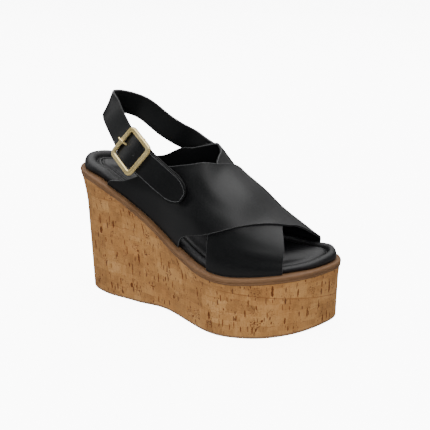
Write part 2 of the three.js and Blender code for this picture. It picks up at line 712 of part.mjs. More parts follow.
// The tab: folded round the buckle's middle bar, then sewn to the upper under the free end
const TAB_ROWS = 26;
function buckleTab() {
  const under = -(HEEL_STRAP_WALL / 2 + CLEARANCE + TAB_WALL / 2);
  const atBar = CENTRE_BAR_LEVEL - FOLD_OUTER + TAB_WALL / 2;
  const shift = (point) => {
    const distance = point.clone().sub(BUCKLE.at).dot(BUCKLE.forward);
    return THREE.MathUtils.lerp(atBar, under, ramp(distance, FOLD_INNER, BUCKLE_LENGTH));
  };
  const until = 1 - TAB_SHORTER / STRAP_PATH.getLength();
  const tail = toSolid(pathStrap(BUCKLE_T, until, TAB_ROWS, TAB_WIDTH, TAB_WALL, shift));
  const fold = toSolid(barSleeve(FOLD_INNER, FOLD_OUTER, TAB_WIDTH).applyMatrix4(buckleMatrix()));
  const core = new THREE.CylinderGeometry(FOLD_INNER, FOLD_INNER, BUCKLE_WIDTH, SLEEVE_SIDES);
  core.translate(0, 0, CENTRE_BAR_LEVEL).applyMatrix4(buckleMatrix());
  const eyeRoom = new THREE.BoxGeometry(3 * FOLD_OUTER, PRONG_SLOT_WIDTH, 3 * FOLD_OUTER);
  eyeRoom.translate(0, 0, CENTRE_BAR_LEVEL).applyMatrix4(buckleMatrix());
  return toGeometry(tail.add(fold).subtract(toSolid(core)).subtract(toSolid(eyeRoom)));
}

function piece(name, geometry, look) {
  const mesh = new THREE.Mesh(geometry, new THREE.MeshStandardMaterial(look));
  mesh.name = name;
  return mesh;
}

// The sandal, with its origin on the floor under the middle of its bounding box
function sandal() {
  const pieces = new THREE.Group();
  pieces.add(
    piece('outsole', outsole(), materials.rubber),
    piece('wedge', wedge(), materials.cork),
    piece('welt', welt(), materials.welt),
    piece('footbed', footbed(), materials.lining),
    piece('upper', upper(), materials.leather),
    piece('heel_strap', heelStrap(), materials.leather),
    piece('buckle_tab', buckleTab(), materials.leather),
    piece('buckle_frame', buckleFrame(), materials.gold),
    piece('buckle_prong', buckleProng(), materials.gold),
  );
  const box = new THREE.Box3().setFromObject(pieces);
  const middle = box.getCenter(new THREE.Vector3());
  pieces.position.set(-middle.x, -middle.y, -box.min.z);
  const group = new THREE.Group();
  group.add(pieces);
  return group;
}

export default sandal();
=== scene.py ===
# The dressed platform sandal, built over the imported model. Lengths are millimetres in the
# shoe's own frame (heel end of the sole at x = 0) until a piece is placed.
import bisect
import math
import random

import bmesh
import bpy
from mathutils import Matrix, Vector


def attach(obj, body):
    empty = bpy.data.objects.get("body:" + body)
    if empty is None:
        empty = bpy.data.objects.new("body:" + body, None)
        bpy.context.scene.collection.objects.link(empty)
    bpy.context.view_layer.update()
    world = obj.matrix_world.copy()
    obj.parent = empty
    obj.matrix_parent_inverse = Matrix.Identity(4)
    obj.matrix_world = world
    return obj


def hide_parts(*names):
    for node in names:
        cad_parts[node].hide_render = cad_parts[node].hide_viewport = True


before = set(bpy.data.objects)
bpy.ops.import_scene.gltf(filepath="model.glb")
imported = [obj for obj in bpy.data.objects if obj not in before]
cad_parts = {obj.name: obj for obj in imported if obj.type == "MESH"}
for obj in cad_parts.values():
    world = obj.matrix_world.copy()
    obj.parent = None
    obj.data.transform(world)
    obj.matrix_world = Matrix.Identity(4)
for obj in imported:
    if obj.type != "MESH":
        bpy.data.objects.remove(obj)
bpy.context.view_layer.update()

MM = 0.001
ORIGIN_SHIFT = Vector((-117.124, 9.692, 0))

# Sizes shared with the solids
SOLE_LENGTH = 240
BALL_WIDTH = 96
HEEL_HEIGHT = 120.6
PLATFORM_HEIGHT = 57.1
ARCH_RISE = 3
TOE_SPRING = 4
OUTSOLE_THICKNESS = 2.4
WELT_HEIGHT = 6
WELT_WIDTH = 4.2
WELT_TUCK = 4
RIM_HEIGHT = 7.6
RIM_WIDTH = 12
PAD_HEIGHT = 8.6
SPINE_FROM_HEEL = 34
SPINE_FROM_TOE = 44
INSTEP_HEIGHT = 90.4
RIDGE_SHIFT = 6
STRAP_WALL = 2
STRAP_OUTSET = 0.3
STRAP_FUSE = 0.6
HEEL_STRAP_WIDTH = 23
HEEL_STRAP_WALL = 2
HEEL_STRAP_HEIGHT = 60.2
TAB_WIDTH = 24.4
TAB_WALL = 1.8
TAB_SHORTER = 3
BUCKLE_LENGTH = 34
BUCKLE_BAR = 4.5
BUCKLE_THICKNESS = 2.4
BUCKLE_CORNER = 6
CENTRE_BAR_RADIUS = 1.3
FOLD_WALL = 1.4
STRAP_HUMP = 1.4
PRONG_RADIUS = 0.9
CLEARANCE = 0.3

# The underside's arch and toe spring, and the wall's flare, as shares of the length or height
ARCH_MIDDLE = 0.42
ARCH_REACH = 0.17
SPRING_START = 0.76
FLARE_START = 0.72

# How finely the outline is walked: rim points, first samples, and steps for the edges across
AROUND = 420
OUTLINE_SAMPLES = 3000
EDGE_POINTS = 480
EDGE_STEPS = 300
EDGE_BEYOND = 15


def smooth_reader(places, values):
    """Reads a value between the rows of a table, and never overshoots them."""
    last = len(places) - 1
    rates = [(values[i + 1] - values[i]) / (places[i + 1] - places[i]) for i in range(last)]
    bends = [0 if a * b <= 0 else 2 * a * b / (a + b) for a, b in zip(rates, rates[1:])]
    slopes = [rates[0], *bends, rates[-1]]

    def read(at):
        if at <= places[0]:
            return values[0]
        if at >= places[-1]:
            return values[-1]
        row = bisect.bisect_left(places, at) - 1
        width = places[row + 1] - places[row]
        s = (at - places[row]) / width
        start = (1 + 2 * s) * (1 - s) ** 2 * values[row] + s * (1 - s) ** 2 * width * slopes[row]
        end = s * s * (3 - 2 * s) * values[row + 1] - s * s * (1 - s) * width * slopes[row + 1]
        return start + end

    return read


def smooth_curve(points, closed):
    """A curve through the points, as a function of a place from 0 to 1."""
    count = len(points)

    def corner(i):
        if closed:
            return points[i % count]
        if i < 0:
            return 2 * points[0] - points[1]
        if i >= count:
            return 2 * points[-1] - points[-2]
        return points[i]

    def point(t):
        place = t * (count if closed else count - 1)
        i = math.floor(place) if closed else min(math.floor(place), count - 2)
        s = place - i
        p0, p1, p2, p3 = (corner(i + k) for k in (-1, 0, 1, 2))
        d0, d1, d2 = (math.sqrt((b - a).length) for a, b in ((p0, p1), (p1, p2), (p2, p3)))
        leave = ((p1 - p0) / d0 - (p2 - p0) / (d0 + d1) + (p2 - p1) / d1) * d1
        arrive = ((p2 - p1) / d1 - (p3 - p1) / (d1 + d2) + (p3 - p2) / d2) * d1
        bend = 3 * (p2 - p1) - 2 * leave - arrive
        return p1 + s * leave + s * s * bend + s ** 3 * (leave + arrive - 2 * (p2 - p1))

    return point


def ramp(value, low, high):
    s = min(1, max(0, (value - low) / (high - low)))
    return s * s * (3 - 2 * s)


def lerp(a, b, t):
    return a + (b - a) * t


# Tables of the shape, as in the solids: shares of SOLE_LENGTH, BALL_WIDTH and so on
OUTLINE_ALONG = [0.025, 0.11, 0.24, 0.38, 0.52, 0.66, 0.79, 0.90, 0.97]
OUTLINE_OUTER = [0.134, 0.244, 0.286, 0.355, 0.491, 0.597, 0.519, 0.325, 0.083]
OUTLINE_INNER = [0.150, 0.270, 0.293, 0.280, 0.322, 0.393, 0.391, 0.339, 0.284]
TOE_TIP_ACROSS = 0.142

SIDE_ALONG = [0, 0.1, 0.2, 0.3, 0.4, 0.5, 0.6, 0.7, 0.85, 1]
side_rise = smooth_reader(
    SIDE_ALONG, [1, 0.917, 0.751, 0.561, 0.357, 0.175, 0.046, 0, 0.006, 0.016]
)
side_outset = smooth_reader(
    SIDE_ALONG, [0.93, 0.76, 0.74, 0.72, 0.74, 0.81, 0.86, 0.64, -0.12, -0.45]
)

FOOT_ALONG = [0.1, 0.25, 0.375, 0.525, 0.604, 0.688, 0.771, 0.854, 0.938, 1]
foot_height = smooth_reader(
    FOOT_ALONG, [0.46, 0.672, 0.965, 1, 0.83, 0.682, 0.469, 0.304, 0.155, 0.127]
)
foot_power = smooth_reader(FOOT_ALONG, [2, 2, 2, 2.08, 2.18, 2.28, 2.38, 2.6, 2.8, 2.8])

OVER_TURN = [0, 0.03, 0.08, 0.13, 0.19, 0.25, 0.33, 0.43, 0.53, 0.62, 0.75, 0.88, 1]
OVER_REAR = [
    0.144, 0.154, 0.215, 0.272, 0.362, 0.447, 0.538, 0.581, 0.600, 0.610, 0.623, 0.640, 0.658,
]
OVER_FRONT = [
    0.481, 0.492, 0.558, 0.621, 0.681, 0.723, 0.763, 0.808, 0.854, 0.896, 0.912, 0.910, 0.898,
]
UNDER_TURN = [0, 0.08, 0.19, 0.33, 0.43, 0.53, 0.62, 0.75, 0.82, 0.88, 0.95, 1]
UNDER_REAR = [0.617, 0.613, 0.612, 0.598, 0.577, 0.562, 0.517, 0.408, 0.289, 0.198, 0.162, 0.158]
UNDER_FRONT = [0.867, 0.867, 0.864, 0.846, 0.825, 0.806, 0.779, 0.717, 0.660, 0.608, 0.545, 0.508]
over_edges = smooth_reader(OVER_TURN, OVER_REAR), smooth_reader(OVER_TURN, OVER_FRONT)
under_edges = smooth_reader(UNDER_TURN, UNDER_REAR), smooth_reader(UNDER_TURN, UNDER_FRONT)

# The heel strap's free run: along, across, up, and the bearing and tilt of its outer face
FREE_RUN = [
    (0.395, 0.290, 0.375, 86, 6),
    (0.284, 0.267, 0.592, 92, 4),
    (0.176, 0.219, 0.886, 106, 15),
    (0.101, -0.010, 1.012, 165, 29),
    (0.131, -0.112, 0.900, 248, 25),
    (0.200, -0.221, 0.614, 255, 21),
    (0.264, -0.322, 0.415, 265, 20),
    (0.356, -0.408, 0.227, 266, 21),
]
BUCKLE_STATION = 7
SEWN_END = 0.507, 0.745
FREE_END = 0.507, 0.166


# The sole's outline and the surfaces that follow it
def share(x):
    return min(1, max(0, x / SOLE_LENGTH))


def welt_top(x):
    return PLATFORM_HEIGHT + (HEEL_HEIGHT - PLATFORM_HEIGHT) * side_rise(share(x))


def welt_outset(x):
    return WELT_WIDTH * side_outset(share(x))


def sole_bottom(x):
    arch = min(1, abs(share(x) - ARCH_MIDDLE) / ARCH_REACH)
    spring = max(0, share(x) - SPRING_START) / (1 - SPRING_START)
    return ARCH_RISE * (1 - arch ** 2) ** 2 + TOE_SPRING * spring ** 2


def outline_points():
    def point(along, across):
        return Vector((along * SOLE_LENGTH, across * BALL_WIDTH, 0))

    outer = [point(a, -o) for a, o in zip(OUTLINE_ALONG, OUTLINE_OUTER)]
    inner = [point(a, i) for a, i in zip(OUTLINE_ALONG, OUTLINE_INNER)]
    return [point(0, 0), *outer, point(1, TOE_TIP_ACROSS), *reversed(inner)]


outline = smooth_curve(outline_points(), closed=True)


class RimPoint:
    """A place on the outline: where it is, the way out of the shoe, and how far round it is."""

    def __init__(self, x, y, out_x, out_y, run):
        self.x, self.y, self.out_x, self.out_y, self.run = x, y, out_x, out_y, run

    def at(self, outset, height):
        return Vector((self.x + self.out_x * outset, self.y + self.out_y * outset, height))


def rim_point(t, run):
    step = 0.0004
    at = outline(t)
    way = (outline(t + step) - outline(t - step)).normalized()
    return RimPoint(at.x, at.y, way.y, -way.x, run)


def outline_ring(count):
    fine = OUTLINE_SAMPLES
    spots = [outline(k / fine) for k in range(fine + 1)]
    runs = [0.0]
    for a, b in zip(spots, spots[1:]):
        runs.append(runs[-1] + (b - a).length)
    ring = []
    for i in range(count):
        run = runs[-1] * i / count
        k = min(fine - 1, max(0, bisect.bisect_right(runs, run) - 1))
        ring.append(rim_point((k + (run - runs[k]) / (runs[k + 1] - runs[k])) / fine, run))
    return ring, runs[-1]


RING, ROUND_LENGTH = outline_ring(AROUND)
EDGE = [p.at(welt_outset(p.x), 0) for p in outline_ring(EDGE_POINTS)[0]]
OUTER_EDGE = EDGE[:EDGE_POINTS // 2]
INNER_EDGE = [EDGE[0], *reversed(EDGE[EDGE_POINTS // 2:])]


def across_edge(side, x):
    i = min(len(side) - 1, max(1, bisect.bisect_left([p.x for p in side], x)))
    t = min(1, max(0, (x - side[i - 1].x) / (side[i].x - side[i - 1].x)))
    return lerp(side[i - 1].y, side[i].y, t)


edge_steps = [
    k * SOLE_LENGTH / EDGE_STEPS for k in range(-EDGE_BEYOND, EDGE_STEPS + EDGE_BEYOND + 1)
]
outer_across = [across_edge(OUTER_EDGE, x) for x in edge_steps]
inner_across = [across_edge(INNER_EDGE, x) for x in edge_steps]


def edges_at(x):
    """Where the welt's inner edge lies across the shoe, on the outer and the inner side."""
    place = min(len(edge_steps) - 1.001, max(0, x * EDGE_STEPS / SOLE_LENGTH + EDGE_BEYOND))
    i = int(place)
    t = place - i
    outer = lerp(outer_across[i], outer_across[i + 1], t)
    return outer, lerp(inner_across[i], inner_across[i + 1], t)


def spine_point(x):
    along = min(SOLE_LENGTH - SPINE_FROM_TOE, max(SPINE_FROM_HEEL, x))
    return Vector((along, sum(edges_at(along)) / 2, 0))


# The footbed's rim, round from the heel by the outer side: shares of RIM_HEIGHT and RIM_WIDTH
RIM_ROUND = [0, 0.05, 0.1, 0.2, 0.36, 0.44, 0.5, 0.56, 0.64, 0.8, 0.94, 1]
rim_height = smooth_reader(
    RIM_ROUND, [1.36, 1, 0.92, 0.84, 0.64, 0.64, 0.93, 1.26, 1.26, 1.34, 1.5, 1.36]
)
rim_width = smooth_reader(
    RIM_ROUND, [0.95, 0.95, 0.93, 0.84, 0.69, 0.67, 0.67, 0.67, 0.74, 0.84, 0.95, 0.95]
)
UPRIGHT_SHARE = 0.4


# The foot under the straps: turn 0 is the outer side, 1 the inner side
def foot_skin(along, turn):
    x = along * SOLE_LENGTH
    outer, inner = edges_at(x)
    outer, inner = outer - STRAP_OUTSET, inner + STRAP_OUTSET
    power = 2 / foot_power(along)
    cos, sin = math.cos(turn * math.pi), max(0, math.sin(turn * math.pi))
    y = (outer + inner) / 2 - math.copysign(abs(cos) ** power, cos) * (inner - outer) / 2
    rise = INSTEP_HEIGHT * foot_height(along) * sin ** power
    return Vector((x, y + RIDGE_SHIFT * sin ** 2, welt_top(x) + CLEARANCE + rise))


def foot_normal(along, turn):
    probe = 0.004
    low, high = max(probe, turn - probe), min(1 - probe, turn + probe)
    forward = foot_skin(along + probe, turn) - foot_skin(along - probe, turn)
    over = foot_skin(along, high) - foot_skin(along, low)
    return forward.cross(over).normalized()


def on_foot(along, turn, out):
    normal = foot_normal(along, turn)
    if math.sin(turn * math.pi) < 0.01:
        normal = Vector((normal.x, normal.y, 0)).normalized()
    return foot_skin(along, turn) + normal * out


def under_depth(turn):
    return (STRAP_WALL - STRAP_FUSE) * ramp(min(turn, 1 - turn), 0.02, 0.1)


# The heel strap's path
def strap_stations():
    def end(place, out):
        return on_foot(*place, out), foot_normal(*place)

    sewn_out = CLEARANCE + HEEL_STRAP_WALL / 2 - under_depth(SEWN_END[1])
    free_out = CLEARANCE * 2 + TAB_WALL + HEEL_STRAP_WALL / 2
    stations = [end(SEWN_END, sewn_out)]
    for along, across, up, bearing, tilt in FREE_RUN:
        bearing, tilt = math.radians(bearing), math.radians(tilt)
        height = HEEL_HEIGHT + up * HEEL_STRAP_HEIGHT
        at = Vector((along * SOLE_LENGTH, across * BALL_WIDTH, height))
        level = math.cos(tilt)
        stations.append(
            (at, Vector((math.cos(bearing) * level, math.sin(bearing) * level, math.sin(tilt))))
        )
    return [*stations, end(FREE_END, free_out)]


STATIONS = strap_stations()
strap_path = smooth_curve([at for at, _ in STATIONS], closed=False)
out_path = smooth_curve([out for _, out in STATIONS], closed=False)
STRETCHES = len(STATIONS) - 1
LAST_STRETCH = (STATIONS[-1][0] - STATIONS[-2][0]).length
BUCKLE_T = BUCKLE_STATION / STRETCHES


def strap_frame(t):
    """Where the heel strap is at t, with its forward, outward and across directions."""
    step = 0.0005
    low, high = max(0, t - step), min(1, t + step)
    forward = (strap_path(high) - strap_path(low)).normalized()
    out = out_path(t)
    out = (out - forward * out.dot(forward)).normalized()
    return strap_path(t), forward, out, out.cross(forward)


BUCKLE_AT, BUCKLE_FORWARD, BUCKLE_OUT, BUCKLE_ACROSS = strap_frame(BUCKLE_T)
FRAME_LOW = HEEL_STRAP_WALL / 2 + CLEARANCE
FRAME_TOP = FRAME_LOW + BUCKLE_THICKNESS
FOLD_INNER = CENTRE_BAR_RADIUS + CLEARANCE
FOLD_OUTER = FOLD_INNER + FOLD_WALL
CENTRE_BAR_LEVEL = STRAP_HUMP - HEEL_STRAP_WALL / 2 - CLEARANCE - FOLD_OUTER


def hump(point):
    distance = abs((point - BUCKLE_AT).dot(BUCKLE_FORWARD))
    reach = BUCKLE_LENGTH / 2 - BUCKLE_BAR / 2
    if distance > reach:
        return 0
    return STRAP_HUMP * (0.5 + 0.5 * math.cos(math.pi * distance / reach))


def turned(x_way, y_way, z_way):
    return Matrix((x_way, y_way, z_way)).transposed().to_4x4()


# From a drawing in the buckle's plane (x along the strap, z outwards) to the shoe
AT_BUCKLE = Matrix.Translation(BUCKLE_AT) @ turned(BUCKLE_FORWARD, BUCKLE_ACROSS, BUCKLE_OUT)


def rod(shape, radius, length, segments, place=Matrix()):
    bmesh.ops.create_cone(
        shape, segments=segments, radius1=radius, radius2=radius, depth=length, cap_ends=True,
        matrix=place,
    )


ALONG_BAR = Matrix.Translation((0, 0, CENTRE_BAR_LEVEL)) @ Matrix.Rotation(math.pi / 2, 4, "X")
TO_WORLD = Matrix.Scale(MM, 4) @ Matrix.Translation(ORIGIN_SHIFT)


# Making pieces
def put(name, shape, finishes):
    mesh = bpy.data.meshes.new(name)
    shape.to_mesh(mesh)
    shape.free()
    for finish in finishes:
        mesh.materials.append(finish)
    return link(name, mesh)


def link(name, data):
    holder = bpy.data.objects.new(name, data)
    bpy.context.scene.collection.objects.link(holder)
    return holder


def new_piece(name, shape, finishes, stands_for=(), sharp=35):
    """A finished piece from a bmesh in the shoe's millimetres."""
    bmesh.ops.transform(shape, matrix=TO_WORLD, verts=shape.verts[:])
    piece = put(name, shape, finishes)
    piece.data.shade_smooth()
    if sharp:
        piece.data.set_sharp_from_angle(angle=math.radians(sharp))
    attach(piece, "root")
    if stands_for:
        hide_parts(*stands_for)
    return piece


def bent_grid(columns, rows, place, chart, shape=None):
    """A grid of faces bent onto place(i, j), with chart(i, j) as its flat pattern in metres."""
    shape = shape or bmesh.new()
    layer = shape.loops.layers.uv.get("chart") or shape.loops.layers.uv.new("chart")
    made = bmesh.ops.create_grid(shape, x_segments=columns, y_segments=rows, size=1)
    flat = {}
    for vertex in made["verts"]:
        i = round((vertex.co.x + 1) / 2 * columns)
        j = round((vertex.co.y + 1) / 2 * rows)
        vertex.co = place(i, j)
        flat[vertex] = Vector(chart(i, j)) * MM
    for vertex in made["verts"]:
        for loop in vertex.link_loops:
            loop[layer].uv = flat[vertex]
    bmesh.ops.remove_doubles(shape, verts=made["verts"], dist=0.002)
    return shape


def ring_body(rings, hoop=False, upright=False):
    """Rings round the sole joined into a skin. A hoop joins its last ring to its first, and
    anything else closes along the line down the sole's middle. An upright chart has heights."""
    if hoop:
        rings = [*rings, rings[0]]
    else:
        rings = [to_spine(rings[0]), *rings, to_spine(rings[-1])]
    spots = [[ring(p) for p in RING] for ring in rings]
    drops = [0.0]
    for a, b in zip(spots, spots[1:]):
        drops.append(drops[-1] + (b[AROUND // 4] - a[AROUND // 4]).length)

    def chart(i, j):
        return ROUND_LENGTH * i / AROUND, spots[j][i % AROUND].z if upright else drops[j]

    return bent_grid(AROUND, len(rings) - 1, lambda i, j: spots[j][i % AROUND], chart)


def ring(outset, height):
    return lambda p: p.at(outset(p.x), height(p.x))


def inward(base, amount, rise):
    """A ring part of the way from another one to the sole's middle line, and part of the way
    up to the pad's top."""
    def place(p):
        edge = base(p)
        at = edge.lerp(spine_point(edge.x), amount)
        at.z = welt_top(at.x) + lerp(edge.z - welt_top(edge.x), PAD_HEIGHT, rise)
        return at
    return place


def to_spine(base):
    def place(p):
        at = base(p)
        spine = spine_point(at.x)
        spine.z = at.z
        return spine
    return place


# Materials
class Sum:
    """A socket's value, whose sums and products are drawn as Math nodes."""

    def __init__(self, paint, socket):
        self.paint, self.socket = paint, socket

    def maths(self, operation, *others):
        return self.paint.node("ShaderNodeMath", {"operation": operation}, (self, *others))

    def __rsub__(self, other):
        return self * -1 + other

    def between(self, low, high):
        """0 at low and 1 at high, with soft ends."""
        settings = {"interpolation_type": "SMOOTHSTEP"}
        return self.paint.node("ShaderNodeMapRange", settings, (self, low, high))


def drawn(operation):
    return lambda value, *others: value.maths(operation, *others)


for method, drawn_operation in [
    ("__add__", "ADD"), ("__radd__", "ADD"), ("__mul__", "MULTIPLY"), ("__rmul__", "MULTIPLY"),
    ("__sub__", "SUBTRACT"), ("__truediv__", "DIVIDE"), ("__pow__", "POWER"),
    ("__abs__", "ABSOLUTE"), ("most", "MAXIMUM"), ("above", "GREATER_THAN"),
]:
    setattr(Sum, method, drawn(drawn_operation))


class Paint:
    """One material, with its nodes made one at a time."""

    def __init__(self, name, **constants):
        self.material = bpy.data.materials.new(name)
        self.material.use_nodes = True
        self.tree = self.material.node_tree
        self.shader = self.tree.nodes["Principled BSDF"]
        for socket, value in constants.items():
            self.shader.inputs[socket.replace("_", " ")].default_value = value

    def node(self, kind, settings=None, inputs=(), output=0):
        node = self.tree.nodes.new(kind)
        for name, value in (settings or {}).items():
            setattr(node, name, value)
        pairs = inputs.items() if isinstance(inputs, dict) else enumerate(inputs)
        for key, value in pairs:
            if isinstance(value, Sum):
                self.tree.links.new(value.socket, node.inputs[key])
            else:
                node.inputs[key].default_value = value
        return Sum(self, node.outputs[output])

    def chart(self):
        """The piece's flat pattern, in metres."""
        return self.node("ShaderNodeUVMap", {"uv_map": "chart"})

    def object_place(self):
        return self.node("ShaderNodeTexCoord", output=3)

    def stretched(self, place, factors, shift=(0, 0, 0)):
        return self.node(
            "ShaderNodeMapping", {}, {"Vector": place, "Scale": factors, "Location": shift}
        )

    def vector(self, operation, first, second):
        """Sums of places; SCALE takes a number as its second part."""
        inputs = {0: first, (3 if operation == "SCALE" else 1): second}
        return self.node("ShaderNodeVectorMath", {"operation": operation}, inputs)

    def parts(self, place):
        node = self.node("ShaderNodeSeparateXYZ", {}, (place,)).socket.node
        return [Sum(self, socket) for socket in node.outputs]

    def noise(self, place, scale, detail=3, roughness=0.5):
        return self.node(
            "ShaderNodeTexNoise",
            {},
            {"Vector": place, "Scale": scale, "Detail": detail, "Roughness": roughness},
        )

    def mix(self, factor, first, second):
        inputs = {0: factor, 6: first, 7: second}
        return self.node("ShaderNodeMix", {"data_type": "RGBA"}, inputs, output=2)

    def bump(self, height, distance, strength):
        inputs = {"Height": height, "Distance": distance, "Strength": strength}
        return self.node("ShaderNodeBump", {}, inputs)

    def feed(self, **links):
        for socket, value in links.items():
            self.tree.links.new(value.socket, self.shader.inputs[socket.replace("_", " ")])
        return self.material


def shade(red, green, blue):
    """A colour as seen on a screen, 0 to 255, as the shader's own numbers."""
    def linear(value):
        value /= 255
        return value / 12.92 if value <= 0.04045 else ((value + 0.055) / 1.055) ** 2.4
    return linear(red), linear(green), linear(blue), 1.0


CORK_DARK = 116, 80, 44
CORK_MIDDLE = 160, 114, 66
CORK_LIGHT = 188, 144, 92
CORK_WARM = 160, 106, 56
CORK_JOINT = 112, 66, 30
CORK_FLECK = 70, 34, 12


def leather(name, dark, light, roughness, grain=1.0, creasing=0.4):
    paint = Paint(name, Specular_IOR_Level=0.4)
    place = paint.object_place()
    cloud = paint.noise(place, 38, 3)
    colour = paint.mix(cloud, dark, light)
    pores = paint.node("ShaderNodeTexVoronoi", {}, {"Vector": place, "Scale": 1500.0})
    fine = paint.noise(place, 900, 2)
    long_wave = paint.noise(place, 55, 4, 0.55)
    height = pores * 0.35 + fine * 0.5 + long_wave * (2.5 * creasing)
    bump = paint.bump(height, 0.00012 * grain, 0.6)
    finish = cloud * 0.12 + fine * 0.08 + (roughness - 0.1)
    return paint.feed(Base_Color=colour, Roughness=finish, Normal=bump)


def cork():
    paint = Paint("cork", Specular_IOR_Level=0.3)
    chart = paint.chart()
    run, up = paint.parts(chart)[:2]
    stray = paint.node(
        "ShaderNodeTexNoise", {}, {"Vector": chart, "Scale": 130.0, "Detail": 2.0}, "Color"
    )
    stray = paint.vector("SUBTRACT", stray, (0.5, 0.5, 0.5))

    def bent(amount):
        return paint.vector("ADD", chart, paint.vector("SCALE", stray, amount))

    def blocks(width, height, bend, line, shift=0.0):
        """Tones and joints of the pressed blocks, as two values."""
        place = paint.stretched(bent(bend), (1, 1, 1), (shift, shift, 0))
        fac = paint.node(
            "ShaderNodeTexBrick",
            {"offset": 0.37, "squash": 0.7, "squash_frequency": 3},
            {
                "Vector": place, "Color1": (0, 0, 0, 1), "Color2": (1, 1, 1, 1), "Scale": 1.0,
                "Mortar": (0.5, 0.5, 0.5, 1), "Mortar Size": line / 1000, "Mortar Smooth": 0.4,
                "Brick Width": width / 1000, "Row Height": height / 1000,
            },
            "Fac",
        )
        return Sum(paint, fac.socket.node.outputs["Color"]), fac

    def flecks(width, height, amount, slim, tall):
        """Upright dashes, one to some of the cells of a jittered grid."""
        place = paint.stretched(bent(0.0012), (1000 / width, 1000 / height, 1))
        tone = paint.node(
            "ShaderNodeTexVoronoi", {"voronoi_dimensions": "2D"}, {"Vector": place, "Scale": 1.0},
            "Color",
        )
        centre = Sum(paint, tone.socket.node.outputs["Position"])
        away = paint.parts(paint.vector("SUBTRACT", place, centre))
        dice = paint.parts(tone)
        size = dice[1] * 0.8 + 0.4
        across = abs(away[0]) / (size * slim)
        along = abs(away[1]) / (size * tall)
        inside = 1 - (across ** 2 + along ** 2)
        return inside.between(0, 0.5) * dice[0].above(1 - amount) * (dice[2] * 0.5 + 0.5)

    big_tone, big_line = blocks(24, 12, 0.006, 0.22)
    small_tone, small_line = blocks(9, 5, 0.004, 0.18, 0.013)
    grain = paint.noise(paint.stretched(chart, (1000, 700, 1)), 1.0, 4, 0.65)
    streak = paint.noise(paint.stretched(chart, (420, 90, 1)), 1.0, 3, 0.6)
    level = paint.noise(paint.stretched(chart, (30, 600, 1)), 1.0, 3, 0.6)
    cloud = paint.noise(chart, 24, 3)
    tone = big_tone * 0.14 + small_tone * 0.1 + grain * 0.34 + streak * 0.26 + cloud * 0.3 - 0.07
    base = paint.node("ShaderNodeValToRGB", {}, (tone,))
    stops = base.socket.node.color_ramp.elements
    stops.new(0.5)
    for stop, place, colour in zip(stops, (0.3, 0.5, 0.72), (CORK_DARK, CORK_MIDDLE, CORK_LIGHT)):
        stop.position, stop.color = place, shade(*colour)
    warmth = paint.noise(chart, 15, 2).between(0.5, 0.7) * 0.45
    base = paint.mix(warmth, base, shade(*CORK_WARM))
    broken = paint.noise(chart, 75, 2).between(0.42, 0.62)
    joints = (big_line * 0.5 + small_line * 0.42) * broken
    seam = 1 - abs(up + run * 0.15 - 0.0713).between(0.0001, 0.0007)
    seam = seam * run.between(0.15, 0.19) * (1 - run.between(0.31, 0.36))
    high = up.between(0.082, 0.094) * (1 - run.between(0.09, 0.13)).most(run.between(0.53, 0.57))
    lines = joints.most(seam * 0.6).most(level.between(0.54, 0.66) * high * 0.5)
    tall_marks = flecks(4.4, 12, 0.3, 0.17, 0.26)
    short_marks = flecks(3.6, 6.5, 0.26, 0.16, 0.25)
    specks = flecks(2.1, 2.6, 0.2, 0.22, 0.28) * 0.7
    clots = flecks(13, 15, 0.3, 0.36, 0.36) * paint.noise(chart, 750, 2).between(0.5, 0.62)
    marks = tall_marks.most(short_marks).most(specks).most(clots)
    colour = paint.mix(lines, base, shade(*CORK_JOINT))
    colour = paint.mix(marks * 0.9, colour, shade(*CORK_FLECK))
    height = grain * 0.4 + streak * 0.3 - marks - lines * 0.5
    bump = paint.bump(height, 0.0004, 0.5)
    return paint.feed(Base_Color=colour, Roughness=grain * 0.15 + 0.7, Normal=bump)


def cork_mark():
    paint = Paint("cork_mark", Specular_IOR_Level=0.2)
    chart = paint.chart()
    grain = paint.noise(paint.stretched(chart, (1300, 500, 1)), 1.0, 3, 0.6)
    colour = paint.mix(grain.between(0.3, 0.7), shade(*CORK_FLECK), shade(*CORK_JOINT))
    bump = paint.bump(grain, 0.0003, 0.5)
    return paint.feed(Base_Color=colour, Roughness=grain * 0.1 + 0.8, Normal=bump)


def welt_leather():
    paint = Paint("welt_leather", Specular_IOR_Level=0.3)
    place = paint.object_place()
    cloud = paint.noise(place, 45, 3)
    fibre = paint.noise(place, 650, 3)
    tone = cloud * 0.6 + fibre * 0.4
    colour = paint.mix(tone, shade(78, 54, 34), shade(122, 90, 60))
    bump = paint.bump(fibre, 0.00015, 0.5)
    return paint.feed(Base_Color=colour, Roughness=fibre * 0.15 + 0.52, Normal=bump)


def sole_rubber():
    paint = Paint("sole_rubber", Specular_IOR_Level=0.35)
    place = paint.object_place()
    cloud = paint.noise(place, 60, 3)
    fine = paint.noise(place, 1200, 2)
    colour = paint.mix(cloud, shade(104, 76, 52), shade(134, 102, 72))
    wave = paint.node(
        "ShaderNodeTexWave",
        {"wave_type": "BANDS", "bands_direction": "X"},
        {"Vector": place, "Scale": 55.0, "Distortion": 3.0, "Detail": 0.0, "Detail Scale": 1.0},
        1,
    )
    bump = paint.bump(wave * 3 + fine * 0.4, 0.0003, 0.6)
    return paint.feed(Base_Color=colour, Roughness=fine * 0.15 + 0.65, Normal=bump)


def gold():
    paint = Paint("pale_gold", Metallic=0.8)
    place = paint.object_place()
    brushed = paint.noise(paint.stretched(place, (900, 900, 2600)), 1.0, 3)
    cloud = paint.noise(place, 90, 2)
    colour = paint.mix(cloud, shade(222, 196, 128), shade(250, 230, 172))
    bump = paint.bump(brushed, 0.00003, 0.3)
    return paint.feed(Base_Color=colour, Roughness=cloud * 0.12 + 0.22, Normal=bump)


